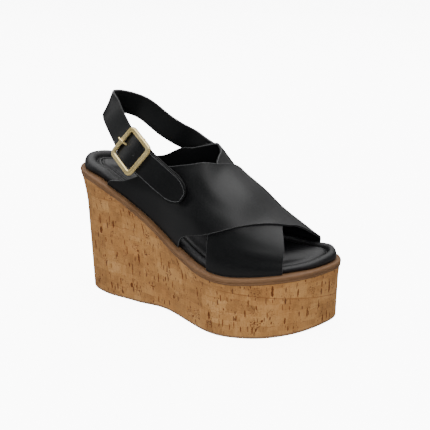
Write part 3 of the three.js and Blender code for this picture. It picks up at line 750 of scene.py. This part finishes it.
BLACK_LEATHER = leather("black_leather", shade(7, 7, 8), shade(12, 13, 14), 0.44)
FOOTBED_LEATHER = leather("footbed_leather", shade(7, 7, 9), shade(11, 11, 13), 0.5, 1.2)
CUT_EDGE = leather("cut_edge", shade(14, 14, 15), shade(26, 26, 27), 0.5, 1.5)
# Lighter leather on the bevels of every strap edge: a painted highlight for light caught along the
# edges
EDGE_HIGHLIGHT = leather("edge_painted_highlight", shade(46, 47, 48), shade(68, 69, 70), 0.45, 0.8)
# A pale cord's leather: a painted highlight along the free end's edges
PAINTED_HIGHLIGHT_LINE = leather("painted_highlight_line", shade(66, 67, 68), shade(84, 85, 86), 0.45, 0.8)
# The punched holes: a lighter rim ring is a painted highlight, and a near-black inner face is
# painted shade standing for the hole's depth
HOLE_RIM_HIGHLIGHT = leather("hole_rim_painted_highlight", shade(34, 35, 36), shade(52, 53, 54), 0.4)
HOLE_PAINTED_SHADE = leather("hole_painted_shade", shade(1, 1, 1), shade(3, 3, 3), 0.7)
THREAD = leather("thread", shade(30, 31, 33), shade(52, 53, 55), 0.6, 0.5)
BLACK_STRAP = [BLACK_LEATHER, CUT_EDGE, EDGE_HIGHLIGHT]
CORK = cork()
CORK_MARK = cork_mark()
WELT = welt_leather()
RUBBER = sole_rubber()
GOLD = gold()


# The sole
def make_outsole():
    def side(inset, lift):
        return ring(lambda x: -inset, lambda x: sole_bottom(x) + lift)

    rings = [side(14, 0), side(5, 0), side(1.0, 0), side(0.35, 0.2), side(0.05, 0.7)]
    rings += [side(0, 1.4), side(0, 2.2), side(0.1, 2.7), side(1, 2.7)]
    new_piece("outsole_rubber", ring_body(rings), [RUBBER], ["outsole"])


def wall_place(p, up):
    """A place on the platform's wall, up from 0 at its foot to 1 under the welt."""
    flare = max(0, (up - FLARE_START) / (1 - FLARE_START)) ** 1.7
    lean = 0.5 * up + 0.5 * flare
    foot, head = sole_bottom(p.x) + OUTSOLE_THICKNESS, welt_top(p.x) - WELT_HEIGHT
    return p.at((welt_outset(p.x) + WELT_WIDTH - 1) * lean, lerp(foot, head, up))


def make_platform():
    count = 30
    levels = [1 - (1 - k / count) ** 1.4 for k in range(count + 1)]
    rings = [ring(lambda x: -1, lambda x: sole_bottom(x) + OUTSOLE_THICKNESS - 0.1)]
    rings += [lambda p, up=up: wall_place(p, up) for up in levels]
    new_piece("cork_platform", ring_body(rings, upright=True), [CORK], ["wedge"])


# The cork's main dark marks: how far round from the heel, how high, how wide and how tall
CORK_MARKS = [
    (24.1, 46.5, 1.8, 9.7), (31.5, 87.5, 1.3, 5.9), (34.6, 75.5, 1.8, 10.7),
    (35.2, 64.8, 4.4, 7.2), (38.3, 39.9, 1.5, 3.1), (40.8, 56.5, 1.4, 4.8), (44.5, 10.7, 2, 7.3),
    (45.1, 31.2, 0.9, 6), (46.9, 78.1, 0.9, 7.1), (50.7, 73.7, 1.9, 8.2), (53.1, 44.4, 1.4, 5.9),
    (55.6, 17.7, 1.5, 7.2), (61.2, 86.7, 1, 8.1), (62.4, 57.9, 0.8, 5.9), (64.9, 50.8, 1, 9.4),
    (66.7, 36.5, 1.9, 4.7), (68, 16.2, 3.9, 5.2), (69.8, 30.2, 1.1, 7.1), (72.3, 89.2, 2.1, 6.9),
    (74.1, 16.3, 2, 3.1), (76, 77, 1.5, 5.8), (76, 88.5, 1.1, 9.2), (77.8, 53, 2.8, 2.3),
    (78.5, 45.8, 2.4, 9.3), (85.9, 53.5, 1.3, 3), (86.5, 77.7, 1.3, 10.3), (89, 42.7, 1.7, 3),
    (93.3, 21.6, 5.7, 1.4), (100.1, 10.4, 1.4, 7), (101.3, 32.5, 1.4, 10.4), (105, 75.5, 1.8, 6.8),
    (106.2, 49.4, 0.9, 10.3), (107.5, 9.7, 1.5, 4.6), (110.6, 33.9, 1.7, 5.3),
    (111.2, 28.8, 1.7, 3), (116.8, 49.5, 2, 7.9), (120.5, 31.5, 1.2, 6.8), (121.1, 19.8, 2.6, 4.1),
    (132.2, 55.4, 1.2, 10), (135.3, 44.7, 1.7, 5.1), (146.4, 9.7, 2, 2.5), (153.8, 35.8, 1.4, 9.9),
    (163.7, 7.5, 1, 6.5), (166.2, 17.7, 2.8, 7.7), (168.4, 9.2, 1.1, 7.3), (176.1, 13.6, 0.9, 7.2),
    (177.9, 37.2, 1.2, 7.1), (179.3, 13.3, 1, 8), (180.4, 26.8, 1.5, 2.2), (183.5, 36.7, 0.8, 4.7),
    (185.3, 10.8, 0.9, 6.4), (187.2, 45.7, 0.7, 3.9), (189, 13.2, 0.9, 6.4),
    (190.9, 19.2, 1.2, 6.4), (194.6, 9.3, 1.1, 5.6), (198.3, 24.4, 1.3, 7.1), (200.8, 8.7, 0.8, 4),
    (200.8, 34, 1, 7.1), (202.6, 50, 0.9, 3.9), (204.5, 8.3, 1.3, 7), (206.3, 16, 1.4, 2.9),
    (207.6, 8.8, 1.6, 3.5), (207.6, 29.9, 1.1, 4.7), (212.5, 17.3, 2.4, 2.4),
    (216.8, 22.8, 1, 6.3), (220.5, 15.1, 1.5, 2.9), (220.5, 44.8, 2.7, 11),
    (221.1, 35.3, 0.7, 3.9), (229.8, 28.6, 0.7, 6.3), (232.3, 15.9, 1.9, 6.4),
    (235.4, 8.4, 1.3, 5.6), (236, 27.3, 0.9, 4), (240.3, 8.4, 0.9, 4), (243.4, 40.5, 1.6, 7.9),
    (249.6, 51.2, 1.6, 3.5), (253.3, 20, 1.5, 9.7), (263.2, 16.2, 1.2, 2.1),
    (265.6, 24.3, 1.2, 7.3), (268.1, 43.1, 1.4, 6.4), (271.2, 9.1, 1.6, 8.2),
    (276.1, 11.9, 1.3, 9), (277.4, 37.8, 2.1, 11.4), (280.4, 9.5, 1, 5), (282.9, 50.7, 1.3, 3.2),
]
MARK_LIFT = 0.08


def make_cork_marks():
    """Thin irregular flakes of dark bark, laid along the platform's wall."""
    dice = random.Random(7)
    shape = bmesh.new()
    columns, rows = 2, 9

    for run, height, width, tall in CORK_MARKS:
        edges = [(dice.uniform(0.55, 1), dice.uniform(0.55, 1)) for _ in range(rows + 1)]
        drift = dice.uniform(-0.3, 0.3)

        def place(i, j):
            v = 2 * j / rows - 1
            left, right = edges[j]
            side = (-left, 0.1 * v, right)[i] * math.sqrt(max(0, 1 - abs(v) ** 2.5))
            p = wall_point(run + (side + drift * v) * width / 2)
            foot, head = sole_bottom(p.x) + OUTSOLE_THICKNESS, welt_top(p.x) - WELT_HEIGHT
            up = min(0.99, max(0.01, (height + v * tall / 2 - foot) / (head - foot)))
            at = wall_place(p, up)
            return at + Vector((p.out_x, p.out_y, 0)) * MARK_LIFT

        def chart(i, j):
            return run + i, height + j * tall / rows

        bent_grid(columns, rows, place, chart, shape)
    new_piece("cork_marks", shape, [CORK_MARK], sharp=0)


def wall_point(run):
    """The outline's place at a distance round from the heel."""
    place = run / ROUND_LENGTH * AROUND
    i = int(place)
    a, b, t = RING[i % AROUND], RING[(i + 1) % AROUND], place - i
    return RimPoint(
        lerp(a.x, b.x, t), lerp(a.y, b.y, t),
        lerp(a.out_x, b.out_x, t), lerp(a.out_y, b.out_y, t), run,
    )


# The welt's section: out from its inner edge, and down from its top, in its widths and heights
WELT_SECTION = [
    (0, 0), (0.45, -0.01), (0.72, 0.02), (0.88, 0.09), (0.97, 0.21), (1, 0.34), (0.98, 0.46),
    (0.92, 0.56), (0.8, 0.62), (0.78, 0.66), (0.82, 0.7), (0.9, 0.76), (0.92, 0.86), (0.88, 0.95),
    (0.8, 1),
]


def make_welt():
    tall = WELT_HEIGHT - CLEARANCE
    rings = [
        ring(
            lambda x, out=out: welt_outset(x) + out * WELT_WIDTH,
            lambda x, down=down: welt_top(x) - down * tall,
        )
        for out, down in reversed(WELT_SECTION)
    ]

    def tucked(x):
        return welt_outset(x) - WELT_TUCK

    rings += [ring(tucked, welt_top), ring(tucked, lambda x: welt_top(x) - tall)]
    new_piece("welt_band", ring_body(rings, hoop=True), [WELT], ["welt"], sharp=50)


def rim_tuck(x):
    depth = STRAP_WALL - STRAP_OUTSET + 2 * CLEARANCE
    return depth * ramp(share(x), 0.03, 0.11) * (1 - ramp(share(x), 0.9, 0.97))


# Inside the rim's roll: how far beyond it, and the height at the heel and at the toe as shares
# of the rim's. The heel has a valley, a ridge and two thin lines; the toe has one groove.
CHANNEL = [
    (0.4, 0.56, 0.52), (1.0, 0.53, 0.5), (1.6, 0.56, 0.58), (2.4, 0.64, 0.67), (3.2, 0.7, 0.73),
    (4.0, 0.71, 0.77), (4.5, 0.67, 0.79), (4.8, 0.55, 0.8), (5.2, 0.55, 0.81), (5.5, 0.66, 0.82),
    (6.0, 0.7, 0.83), (6.7, 0.71, 0.84), (6.95, 0.66, 0.845), (7.25, 0.66, 0.85),
    (7.5, 0.72, 0.855), (8.8, 0.75, 0.87),
]
RIM_STOP = 0.97
CORE_DEPTH = 5.7
# From there to the middle: how far in, and how far up to PAD_HEIGHT
PAD_RISE = [(0.1, 0.1), (0.2, 0.24), (0.35, 0.48), (0.5, 0.7), (0.7, 0.9), (0.88, 1)]


def make_footbed():
    def rim(inset, up):
        def place(p):
            width = RIM_WIDTH * rim_width(p.run / ROUND_LENGTH)
            height = RIM_HEIGHT * rim_height(p.run / ROUND_LENGTH)
            outset = welt_outset(p.x) - inset * width - rim_tuck(p.x)
            return p.at(outset, welt_top(p.x) + up * height)
        return place

    def channel(beyond, heel, toe):
        def place(p):
            start = rim(RIM_STOP, 0)(p)
            way = spine_point(start.x) - start
            way.z = 0
            at = start + way.normalized() * min(beyond, 0.85 * way.length)
            up = lerp(heel, toe, ramp(share(p.x), 0.15, 0.4))
            at.z = welt_top(at.x) + up * RIM_HEIGHT * rim_height(p.run / ROUND_LENGTH)
            return at
        return place

    def core(lift):
        return ring(lambda x: welt_outset(x) - WELT_TUCK - CLEARANCE, lambda x: welt_top(x) + lift)

    rings = [core(-CORE_DEPTH), core(CLEARANCE), rim(0.07, 0.04), rim(0.02, 0.12)]
    for degrees in range(0, 161, 10):
        angle = math.radians(degrees)
        rings.append(rim((1 - math.cos(angle)) / 2, lerp(UPRIGHT_SHARE, 1, math.sin(angle))))
    rings += [channel(*row) for row in CHANNEL]
    rings += [inward(rings[-1], amount, rise) for amount, rise in PAD_RISE]
    piece = new_piece(
        "footbed_pad", ring_body(rings), [FOOTBED_LEATHER], ["footbed"], sharp=60
    )


# The straps
STRAP_LONG = 230
STRAP_BROAD = 80

# Soft ridges (up) and troughs (down) in the crossed straps: round the foot and across the strap
# at each end of the crease, its breadth and its height in mm
CREASES = {
    "over_strap": [
        (0.1, 0.1, 0.13, 0.95, 9, 1.1), (0.2, 0.05, 0.26, 0.8, 10, -0.5),
        (0.36, 0.3, 0.44, 0.85, 12, 0.15), (0.52, 0.15, 0.5, 0.7, 9, -0.15),
        (0.7, 0.2, 0.64, 0.9, 11, 0.25), (0.86, 0.15, 0.82, 0.85, 8, -0.4),
    ],
    "under_strap": [
        (0.14, 0.15, 0.2, 0.9, 9, -0.4), (0.46, 0.3, 0.4, 0.8, 10, 0.3),
        (0.72, 0.95, 0.8, 0.35, 9, 0.5), (0.8, 0.9, 0.88, 0.2, 8, -0.7),
        (0.92, 0.8, 0.95, 0.2, 7, 0.5),
    ],
}


def creased(name, turn, side):
    """How far the creases lift the leather at a place on a crossed strap."""
    at = Vector((turn * STRAP_LONG, side * STRAP_BROAD))
    lift = 0
    for turn_a, side_a, turn_b, side_b, broad, height in CREASES[name]:
        start = Vector((turn_a * STRAP_LONG, side_a * STRAP_BROAD))
        way = Vector((turn_b * STRAP_LONG, side_b * STRAP_BROAD)) - start
        along = (at - start).dot(way) / way.length_squared
        away = (at - start - way * along).length
        ends = ramp(along, -0.25, 0.3) * (1 - ramp(along, 0.7, 1.25))
        lift += height * ends * math.exp(-(away / broad) ** 2)
    return lift


def make_crossed(name, edges, depth, edge_lift):
    rows, columns = 150, 40

    def place(i, j):
        turn = i / rows
        rear, front = (edge(turn) for edge in edges)
        side = j / columns
        lift = edge_lift * abs(2 * side - 1) ** 6 * ramp(min(turn, 1 - turn), 0.03, 0.12)
        lift += creased(name, turn, side)
        return on_foot(lerp(rear, front, side), turn, lift - depth(turn))

    def chart(i, j):
        return i * STRAP_LONG / rows, j * STRAP_BROAD / columns

    shape = bent_grid(rows, columns, place, chart)
    bmesh.ops.reverse_faces(shape, faces=shape.faces[:])
    piece = new_piece(name, shape, BLACK_STRAP, ["upper"])
    give_wall(piece, STRAP_WALL, -1)


def give_wall(piece, wall, offset):
    solid = piece.modifiers.new("wall", "SOLIDIFY")
    solid.thickness = wall * MM
    solid.offset = offset
    solid.material_offset_rim = 1
    bevel = piece.modifiers.new("edge", "BEVEL")
    bevel.width = 0.4 * MM
    bevel.segments = 2
    # the bevel faces take the third finish, the painted edge highlight
    bevel.material = 2
    bevel.limit_method = "ANGLE"
    bevel.angle_limit = math.radians(50)
    bevel.harden_normals = True


def path_length():
    count = 400
    places = [strap_path(k / count) for k in range(count + 1)]
    return sum((b - a).length for a, b in zip(places, places[1:]))


PATH_LENGTH = path_length()

# How much the leather spreads to each side inside the buckle, and where that begins and ends
IN_BUCKLE_SWELL = 0.8
SWELL_WHOLE = 9
SWELL_GONE = 15


def path_strap(name, start, stop, rows, width, wall, shift, stands_for):
    columns = 12

    def place(i, j):
        t = lerp(start, stop, 0.5 - 0.5 * math.cos(math.pi * i / rows))
        at, forward, out, across = strap_frame(t)
        to_end = (stop - t) * STRETCHES * LAST_STRETCH
        left = min(1, to_end / (width / 2))
        swell = IN_BUCKLE_SWELL * (1 - ramp((at - BUCKLE_AT).length, SWELL_WHOLE, SWELL_GONE))
        half = (width / 2 + swell) * math.sqrt(max(0, 1 - (1 - left) ** 2))
        return at + out * shift(at) + across * (half * (2 * j / columns - 1))

    def chart(i, j):
        return i * 300 / rows, j * width / columns

    shape = bent_grid(rows, columns, place, chart)
    bmesh.ops.reverse_faces(shape, faces=shape.faces[:])
    piece = new_piece(name, shape, BLACK_STRAP, stands_for)
    give_wall(piece, wall, 0)


def make_tab():
    under = -(HEEL_STRAP_WALL / 2 + CLEARANCE + TAB_WALL / 2)
    at_bar = CENTRE_BAR_LEVEL - FOLD_OUTER + TAB_WALL / 2

    def shift(point):
        distance = (point - BUCKLE_AT).dot(BUCKLE_FORWARD)
        return lerp(at_bar, under, ramp(distance, FOLD_INNER, BUCKLE_LENGTH))

    stop = 1 - TAB_SHORTER / PATH_LENGTH
    path_strap(
        "tab_strap", BUCKLE_T, stop, 90, TAB_WIDTH, TAB_WALL, shift, ["buckle_tab"]
    )
    shape = bmesh.new()
    rod(shape, FOLD_OUTER, TAB_WIDTH, 48, ALONG_BAR)
    bmesh.ops.transform(shape, matrix=AT_BUCKLE, verts=shape.verts[:])
    new_piece("tab_fold", shape, BLACK_STRAP)


# The buckle's section from its outer edge in: the width of each step and how far it goes up
BUCKLE_EDGE = 0.8
BUCKLE_SECTION = [(0.15, 0.8), (0.45, 0.35), (2.2, 0), (0.45, -0.35), (0.45, -0.2)]
BUCKLE_RISE = 1.15
POST_RADIUS = 1.2


def make_buckle():
    shape = bmesh.new()
    bmesh.ops.create_grid(shape, x_segments=1, y_segments=1, size=BUCKLE_LENGTH / 2)
    bmesh.ops.bevel(
        shape, geom=shape.verts[:], offset=BUCKLE_CORNER, affect="VERTICES", segments=10,
        profile=0.5, material=-1,
    )
    plate = shape.faces[:]
    bmesh.ops.inset_region(
        shape, faces=plate, thickness=BUCKLE_EDGE, use_even_offset=True, use_boundary=True
    )
    for width, rise in BUCKLE_SECTION:
        bmesh.ops.inset_region(
            shape, faces=plate, thickness=width, depth=rise, use_even_offset=True
        )
    bmesh.ops.delete(shape, geom=plate, context="FACES_ONLY")
    thick = bmesh.ops.extrude_face_region(shape, geom=shape.faces[:])
    low = [v for v in thick["geom"] if isinstance(v, bmesh.types.BMVert)]
    for vertex in low:
        vertex.co.z = -BUCKLE_THICKNESS + BUCKLE_RISE
    bmesh.ops.recalc_face_normals(shape, faces=shape.faces[:])
    bmesh.ops.translate(shape, vec=(0, 0, FRAME_TOP - BUCKLE_RISE), verts=shape.verts[:])
    side = (BUCKLE_LENGTH - BUCKLE_BAR) / 2
    rod(shape, CENTRE_BAR_RADIUS, 2 * side + 0.4, 32, ALONG_BAR)
    middle = FRAME_LOW + BUCKLE_THICKNESS / 2
    for across in (-side, side):
        centre = Matrix.Translation((0, across, (middle + CENTRE_BAR_LEVEL) / 2))
        rod(shape, POST_RADIUS, middle - CENTRE_BAR_LEVEL, 24, centre)
    bmesh.ops.transform(shape, matrix=AT_BUCKLE, verts=shape.verts[:])
    piece = new_piece("buckle_ring", shape, [GOLD], ["buckle_frame"], sharp=28)
    bevel = piece.modifiers.new("edge", "BEVEL")
    bevel.width = 0.2 * MM
    bevel.segments = 3
    bevel.limit_method = "ANGLE"
    bevel.angle_limit = math.radians(28)


# Where the strap is punched, along it from the buckle's middle bar. The first hole is a slot.
PUNCHED = [-9, -2.2, 4.6]
HOLE_RADIUS = 1.15
HOLE_DEPTH = 0.3
SLOT_STRETCH = 2.1


def strap_place(distance):
    """The share of the heel strap's path at a distance along it from the buckle."""
    low, high = 0, 1
    for _ in range(40):
        middle = (low + high) / 2
        if middle <= 0.5 or (strap_path(middle) - BUCKLE_AT).dot(BUCKLE_FORWARD) < distance:
            low = middle
        else:
            high = middle
    return low


def make_punched_holes():
    shape = bmesh.new()
    for distance in PUNCHED:
        at, forward, out, across = strap_frame(strap_place(distance))
        top = at + out * (hump(at) + HEEL_STRAP_WALL / 2)
        turn = turned(forward, across, out)
        long = SLOT_STRETCH if distance == PUNCHED[0] else 1
        hole = bmesh.ops.create_cone(
            shape, segments=28, radius1=HOLE_RADIUS, radius2=HOLE_RADIUS, depth=HOLE_DEPTH,
            cap_ends=True,
            matrix=Matrix.Translation(top - out * 0.1) @ turn @ Matrix.Diagonal((long, 1, 1, 1)),
        )
        face = max(
            {f for v in hole["verts"] for f in v.link_faces},
            key=lambda f: f.calc_center_median().dot(out),
        )
        bmesh.ops.inset_region(shape, faces=[face], thickness=0.22, depth=-0.08)
        # the sunk inner face takes the near-black painted shade, the rest the ring's painted
        # highlight
        face.material_index = 1
    new_piece("punched_holes", shape, [HOLE_RIM_HIGHLIGHT, HOLE_PAINTED_SHADE], sharp=30)


STITCH_SPACING = 3.2
STITCH_LENGTH = 2.4
STITCH_RADIUS = 0.28
STITCH_SINK = 0.1


def make_stitches(name, line):
    """Thread laid along a closed line of (place, outward) pairs, one stitch at a time."""
    shape = bmesh.new()
    steps = [(b[0] - a[0]).length for a, b in zip(line, line[1:])]
    travelled, wanted = 0.0, STITCH_SPACING / 2
    for (a, out), (b, _), step in zip(line, line[1:], steps):
        while wanted < travelled + step:
            t = (wanted - travelled) / step
            forward = (b - a).normalized()
            at = a.lerp(b, t) + out * (STITCH_RADIUS * 0.4 - STITCH_SINK)
            turn = turned(out.cross(forward), out, forward)
            sizes = Matrix.Diagonal((STITCH_RADIUS, STITCH_RADIUS * 0.8, STITCH_LENGTH / 2, 1))
            bmesh.ops.create_icosphere(
                shape, subdivisions=2, radius=1, matrix=Matrix.Translation(at) @ turn @ sizes
            )
            wanted += STITCH_SPACING
        travelled += step
    new_piece(name, shape, [THREAD], sharp=0)


# The painted highlight line's length along each edge of the free end, and its distance from the
# edge
LINE_LENGTH = 44
LINE_INSET = 1.0
LINE_RADIUS = 0.2


def make_free_end_highlight():
    """A pale cord along both edges of the strap's free end and round its tip: a painted highlight
    standing for light caught on the edge's bevel.
    """
    rows, sides = 160, 8

    def spot(j):
        way = 2 * j / rows - 1
        side = math.copysign(1, way)
        left = LINE_LENGTH * way * way + LINE_INSET
        t = 1 - left / PATH_LENGTH
        at, _, out, across = strap_frame(t)
        reach = HEEL_STRAP_WIDTH / 2
        back = min(1, left / reach)
        half = max(0, reach * math.sqrt(max(0, 1 - (1 - back) ** 2)) - LINE_INSET)
        return at + out * (hump(at) + HEEL_STRAP_WALL / 2) + across * (half * side), out

    def place(i, j):
        at, out = spot(j)
        ahead, behind = spot(min(rows, j + 1))[0], spot(max(0, j - 1))[0]
        forward = (ahead - behind).normalized()
        angle = 2 * math.pi * i / sides
        return at + (out * math.cos(angle) + out.cross(forward) * math.sin(angle)) * LINE_RADIUS

    shape = bent_grid(sides, rows, place, lambda i, j: (i, j))
    new_piece("free_end_highlight", shape, [PAINTED_HIGHLIGHT_LINE])


def stitched_rectangle(first, last, half, lift):
    """A rectangle of seam on the heel strap, between two shares of its path."""
    def spot(t, side):
        at, forward, out, across = strap_frame(t)
        return at + across * (half * side) + out * lift, out if lift > 0 else -out

    corners = [(first, -1), (last, -1), (last, 1), (first, 1), (first, -1)]
    steps = 16
    line = [spot(first, -1)]
    for (t, side), (next_t, next_side) in zip(corners, corners[1:]):
        for k in range(1, steps + 1):
            line.append(spot(lerp(t, next_t, k / steps), lerp(side, next_side, k / steps)))
    return line


# The prong from the middle bar to past the rear bar: how far back, in half buckles, and how far
# up from the middle bar to its place on the rear bar
PRONG_ROUTE = [
    (0.1, 0), (0.3, 0.02), (0.46, 0.22), (0.6, 0.68), (0.72, 0.97), (0.9, 1.01), (1.05, 0.98),
]
PRONG_TIP = 0.94
PRONG_LOOP_WALL = 1.1
PRONG_LOOP_WIDTH = 2.6


def make_prong():
    rest = FRAME_TOP + CLEARANCE + PRONG_RADIUS
    half = BUCKLE_LENGTH / 2
    route = smooth_curve(
        [Vector((-b * half, 0, lerp(CENTRE_BAR_LEVEL, rest, u))) for b, u in PRONG_ROUTE], False
    )
    rows, sides = 40, 20

    def place(i, j):
        t = j / rows
        step = 0.002
        forward = (route(min(1, t + step)) - route(max(0, t - step))).normalized()
        up = forward.cross(Vector((0, 1, 0)))
        taper = max(0, (t - PRONG_TIP) / (1 - PRONG_TIP))
        radius = PRONG_RADIUS * math.sqrt(max(0, 1 - taper ** 2))
        angle = 2 * math.pi * i / sides
        return route(t) + (up * math.cos(angle) + Vector((0, 1, 0)) * math.sin(angle)) * radius

    shape = bent_grid(sides, rows, place, lambda i, j: (i, j))
    rod(shape, FOLD_INNER + PRONG_LOOP_WALL, PRONG_LOOP_WIDTH, 32, ALONG_BAR)
    bmesh.ops.transform(shape, matrix=AT_BUCKLE, verts=shape.verts[:])
    bmesh.ops.recalc_face_normals(shape, faces=shape.faces[:])
    new_piece("buckle_pin", shape, [GOLD], ["buckle_prong"])


make_outsole()
make_platform()
make_cork_marks()
make_welt()
make_footbed()
make_crossed("over_strap", over_edges, lambda turn: 0, edge_lift=0.6)
make_crossed("under_strap", under_edges, under_depth, edge_lift=0.3)
path_strap(
    "heel_strap_leather", 0, 1, 260, HEEL_STRAP_WIDTH, HEEL_STRAP_WALL, hump, ["heel_strap"]
)
make_tab()
make_buckle()
make_prong()
make_punched_holes()
make_free_end_highlight()
SEAM_INSET = 2.6
SEAM = 0.006, 0.062, HEEL_STRAP_WIDTH / 2 - SEAM_INSET
INSIDE = -(HEEL_STRAP_WALL / 2 + CLEARANCE + STRAP_WALL)
make_stitches("outer_stitches", stitched_rectangle(*SEAM, HEEL_STRAP_WALL / 2))
make_stitches("inner_stitches", stitched_rectangle(*SEAM, INSIDE))


# The setting: the floor's half width in metres and its glow, then the camera's place
FLOOR_HALF = 6
FLOOR_GLOW = 9.0
CAMERA_AZIMUTH = 25.12
CAMERA_ELEVATION = 18.86
CAMERA_DISTANCE = 750
CAMERA_AIM = Vector((125, 0, 60))
CAMERA_RIGHT = 3.31
CAMERA_UP = 29.51


def make_floor():
    paint = Paint("floor", Roughness=0.9, Specular_IOR_Level=0.1)
    paint.shader.inputs["Base Color"].default_value = (0.8, 0.8, 0.8, 1)
    paint.shader.inputs["Emission Color"].default_value = (1, 1, 1, 1)
    paint.shader.inputs["Emission Strength"].default_value = FLOOR_GLOW
    shape = bmesh.new()
    bmesh.ops.create_grid(shape, x_segments=1, y_segments=1, size=FLOOR_HALF)
    floor = put("floor", shape, [paint.material])
    floor.visible_glossy = False
    floor.visible_diffuse = False


def make_camera():
    azimuth, elevation = math.radians(CAMERA_AZIMUTH), math.radians(CAMERA_ELEVATION)
    back = Vector((
        math.sin(azimuth) * math.cos(elevation),
        -math.cos(azimuth) * math.cos(elevation),
        math.sin(elevation),
    ))
    right = Vector((math.cos(azimuth), math.sin(azimuth), 0))
    up = back.cross(right)
    at = CAMERA_AIM + ORIGIN_SHIFT + back * CAMERA_DISTANCE + right * CAMERA_RIGHT + up * CAMERA_UP
    camera = bpy.data.cameras.new("camera")
    camera.sensor_width = 36
    camera.lens = 69.22
    camera.shift_y = -5 / 430
    holder = link("camera", camera)
    holder.matrix_world = Matrix.Translation(at * MM) @ turned(right, up, back)
    bpy.context.scene.camera = holder


def make_light(name, place, size, power, shines=True, aim=(0, 0, 0.07)):
    """A soft box. One that doesn't shine lights the cork and makes no glints in the leather."""
    light = bpy.data.lights.new(name, "AREA")
    light.shape = "RECTANGLE"
    light.size, light.size_y = size
    light.energy = power
    holder = link(name, light)
    holder.visible_glossy = shines
    way = Vector(aim) - Vector(place)
    turn = way.to_track_quat("-Z", "Y").to_matrix().to_4x4()
    holder.matrix_world = Matrix.Translation(place) @ turn


make_floor()
make_camera()
make_light("overhead", (-0.2, 0.65, 1.6), (3.2, 2.7), 86, aim=(-0.2, 0.65, 0))
make_light("left_strip", (-1.5, -0.4, 0.5), (0.4, 0.8), 3)
make_light("right_strip", (1.5, -0.1, 0.5), (0.4, 0.8), 2)
make_light("back_panel", (0.2, 2.2, 1.0), (3.4, 1.7), 8)
make_light("front_fill", (0.35, -1.6, 0.5), (1.6, 0.8), 32, shines=False)


def make_world():
    """A dim room above a pale floor, which the low faces of the leather mirror faintly."""
    world = bpy.data.worlds.new("studio")
    world.use_nodes = True
    nodes, links = world.node_tree.nodes, world.node_tree.links
    way = nodes.new("ShaderNodeTexCoord")
    parts = nodes.new("ShaderNodeSeparateXYZ")
    level = nodes.new("ShaderNodeMapRange")
    for socket, value in zip(level.inputs[1:5], (-0.35, 0.0, 0.6, 0.03)):
        socket.default_value = value
    links.new(way.outputs["Generated"], parts.inputs[0])
    links.new(parts.outputs[2], level.inputs[0])
    links.new(level.outputs[0], nodes["Background"].inputs[1])
    nodes["Background"].inputs[0].default_value = (1, 1, 1, 1)
    bpy.context.scene.world = world


make_world()

bpy.context.view_layer.update()
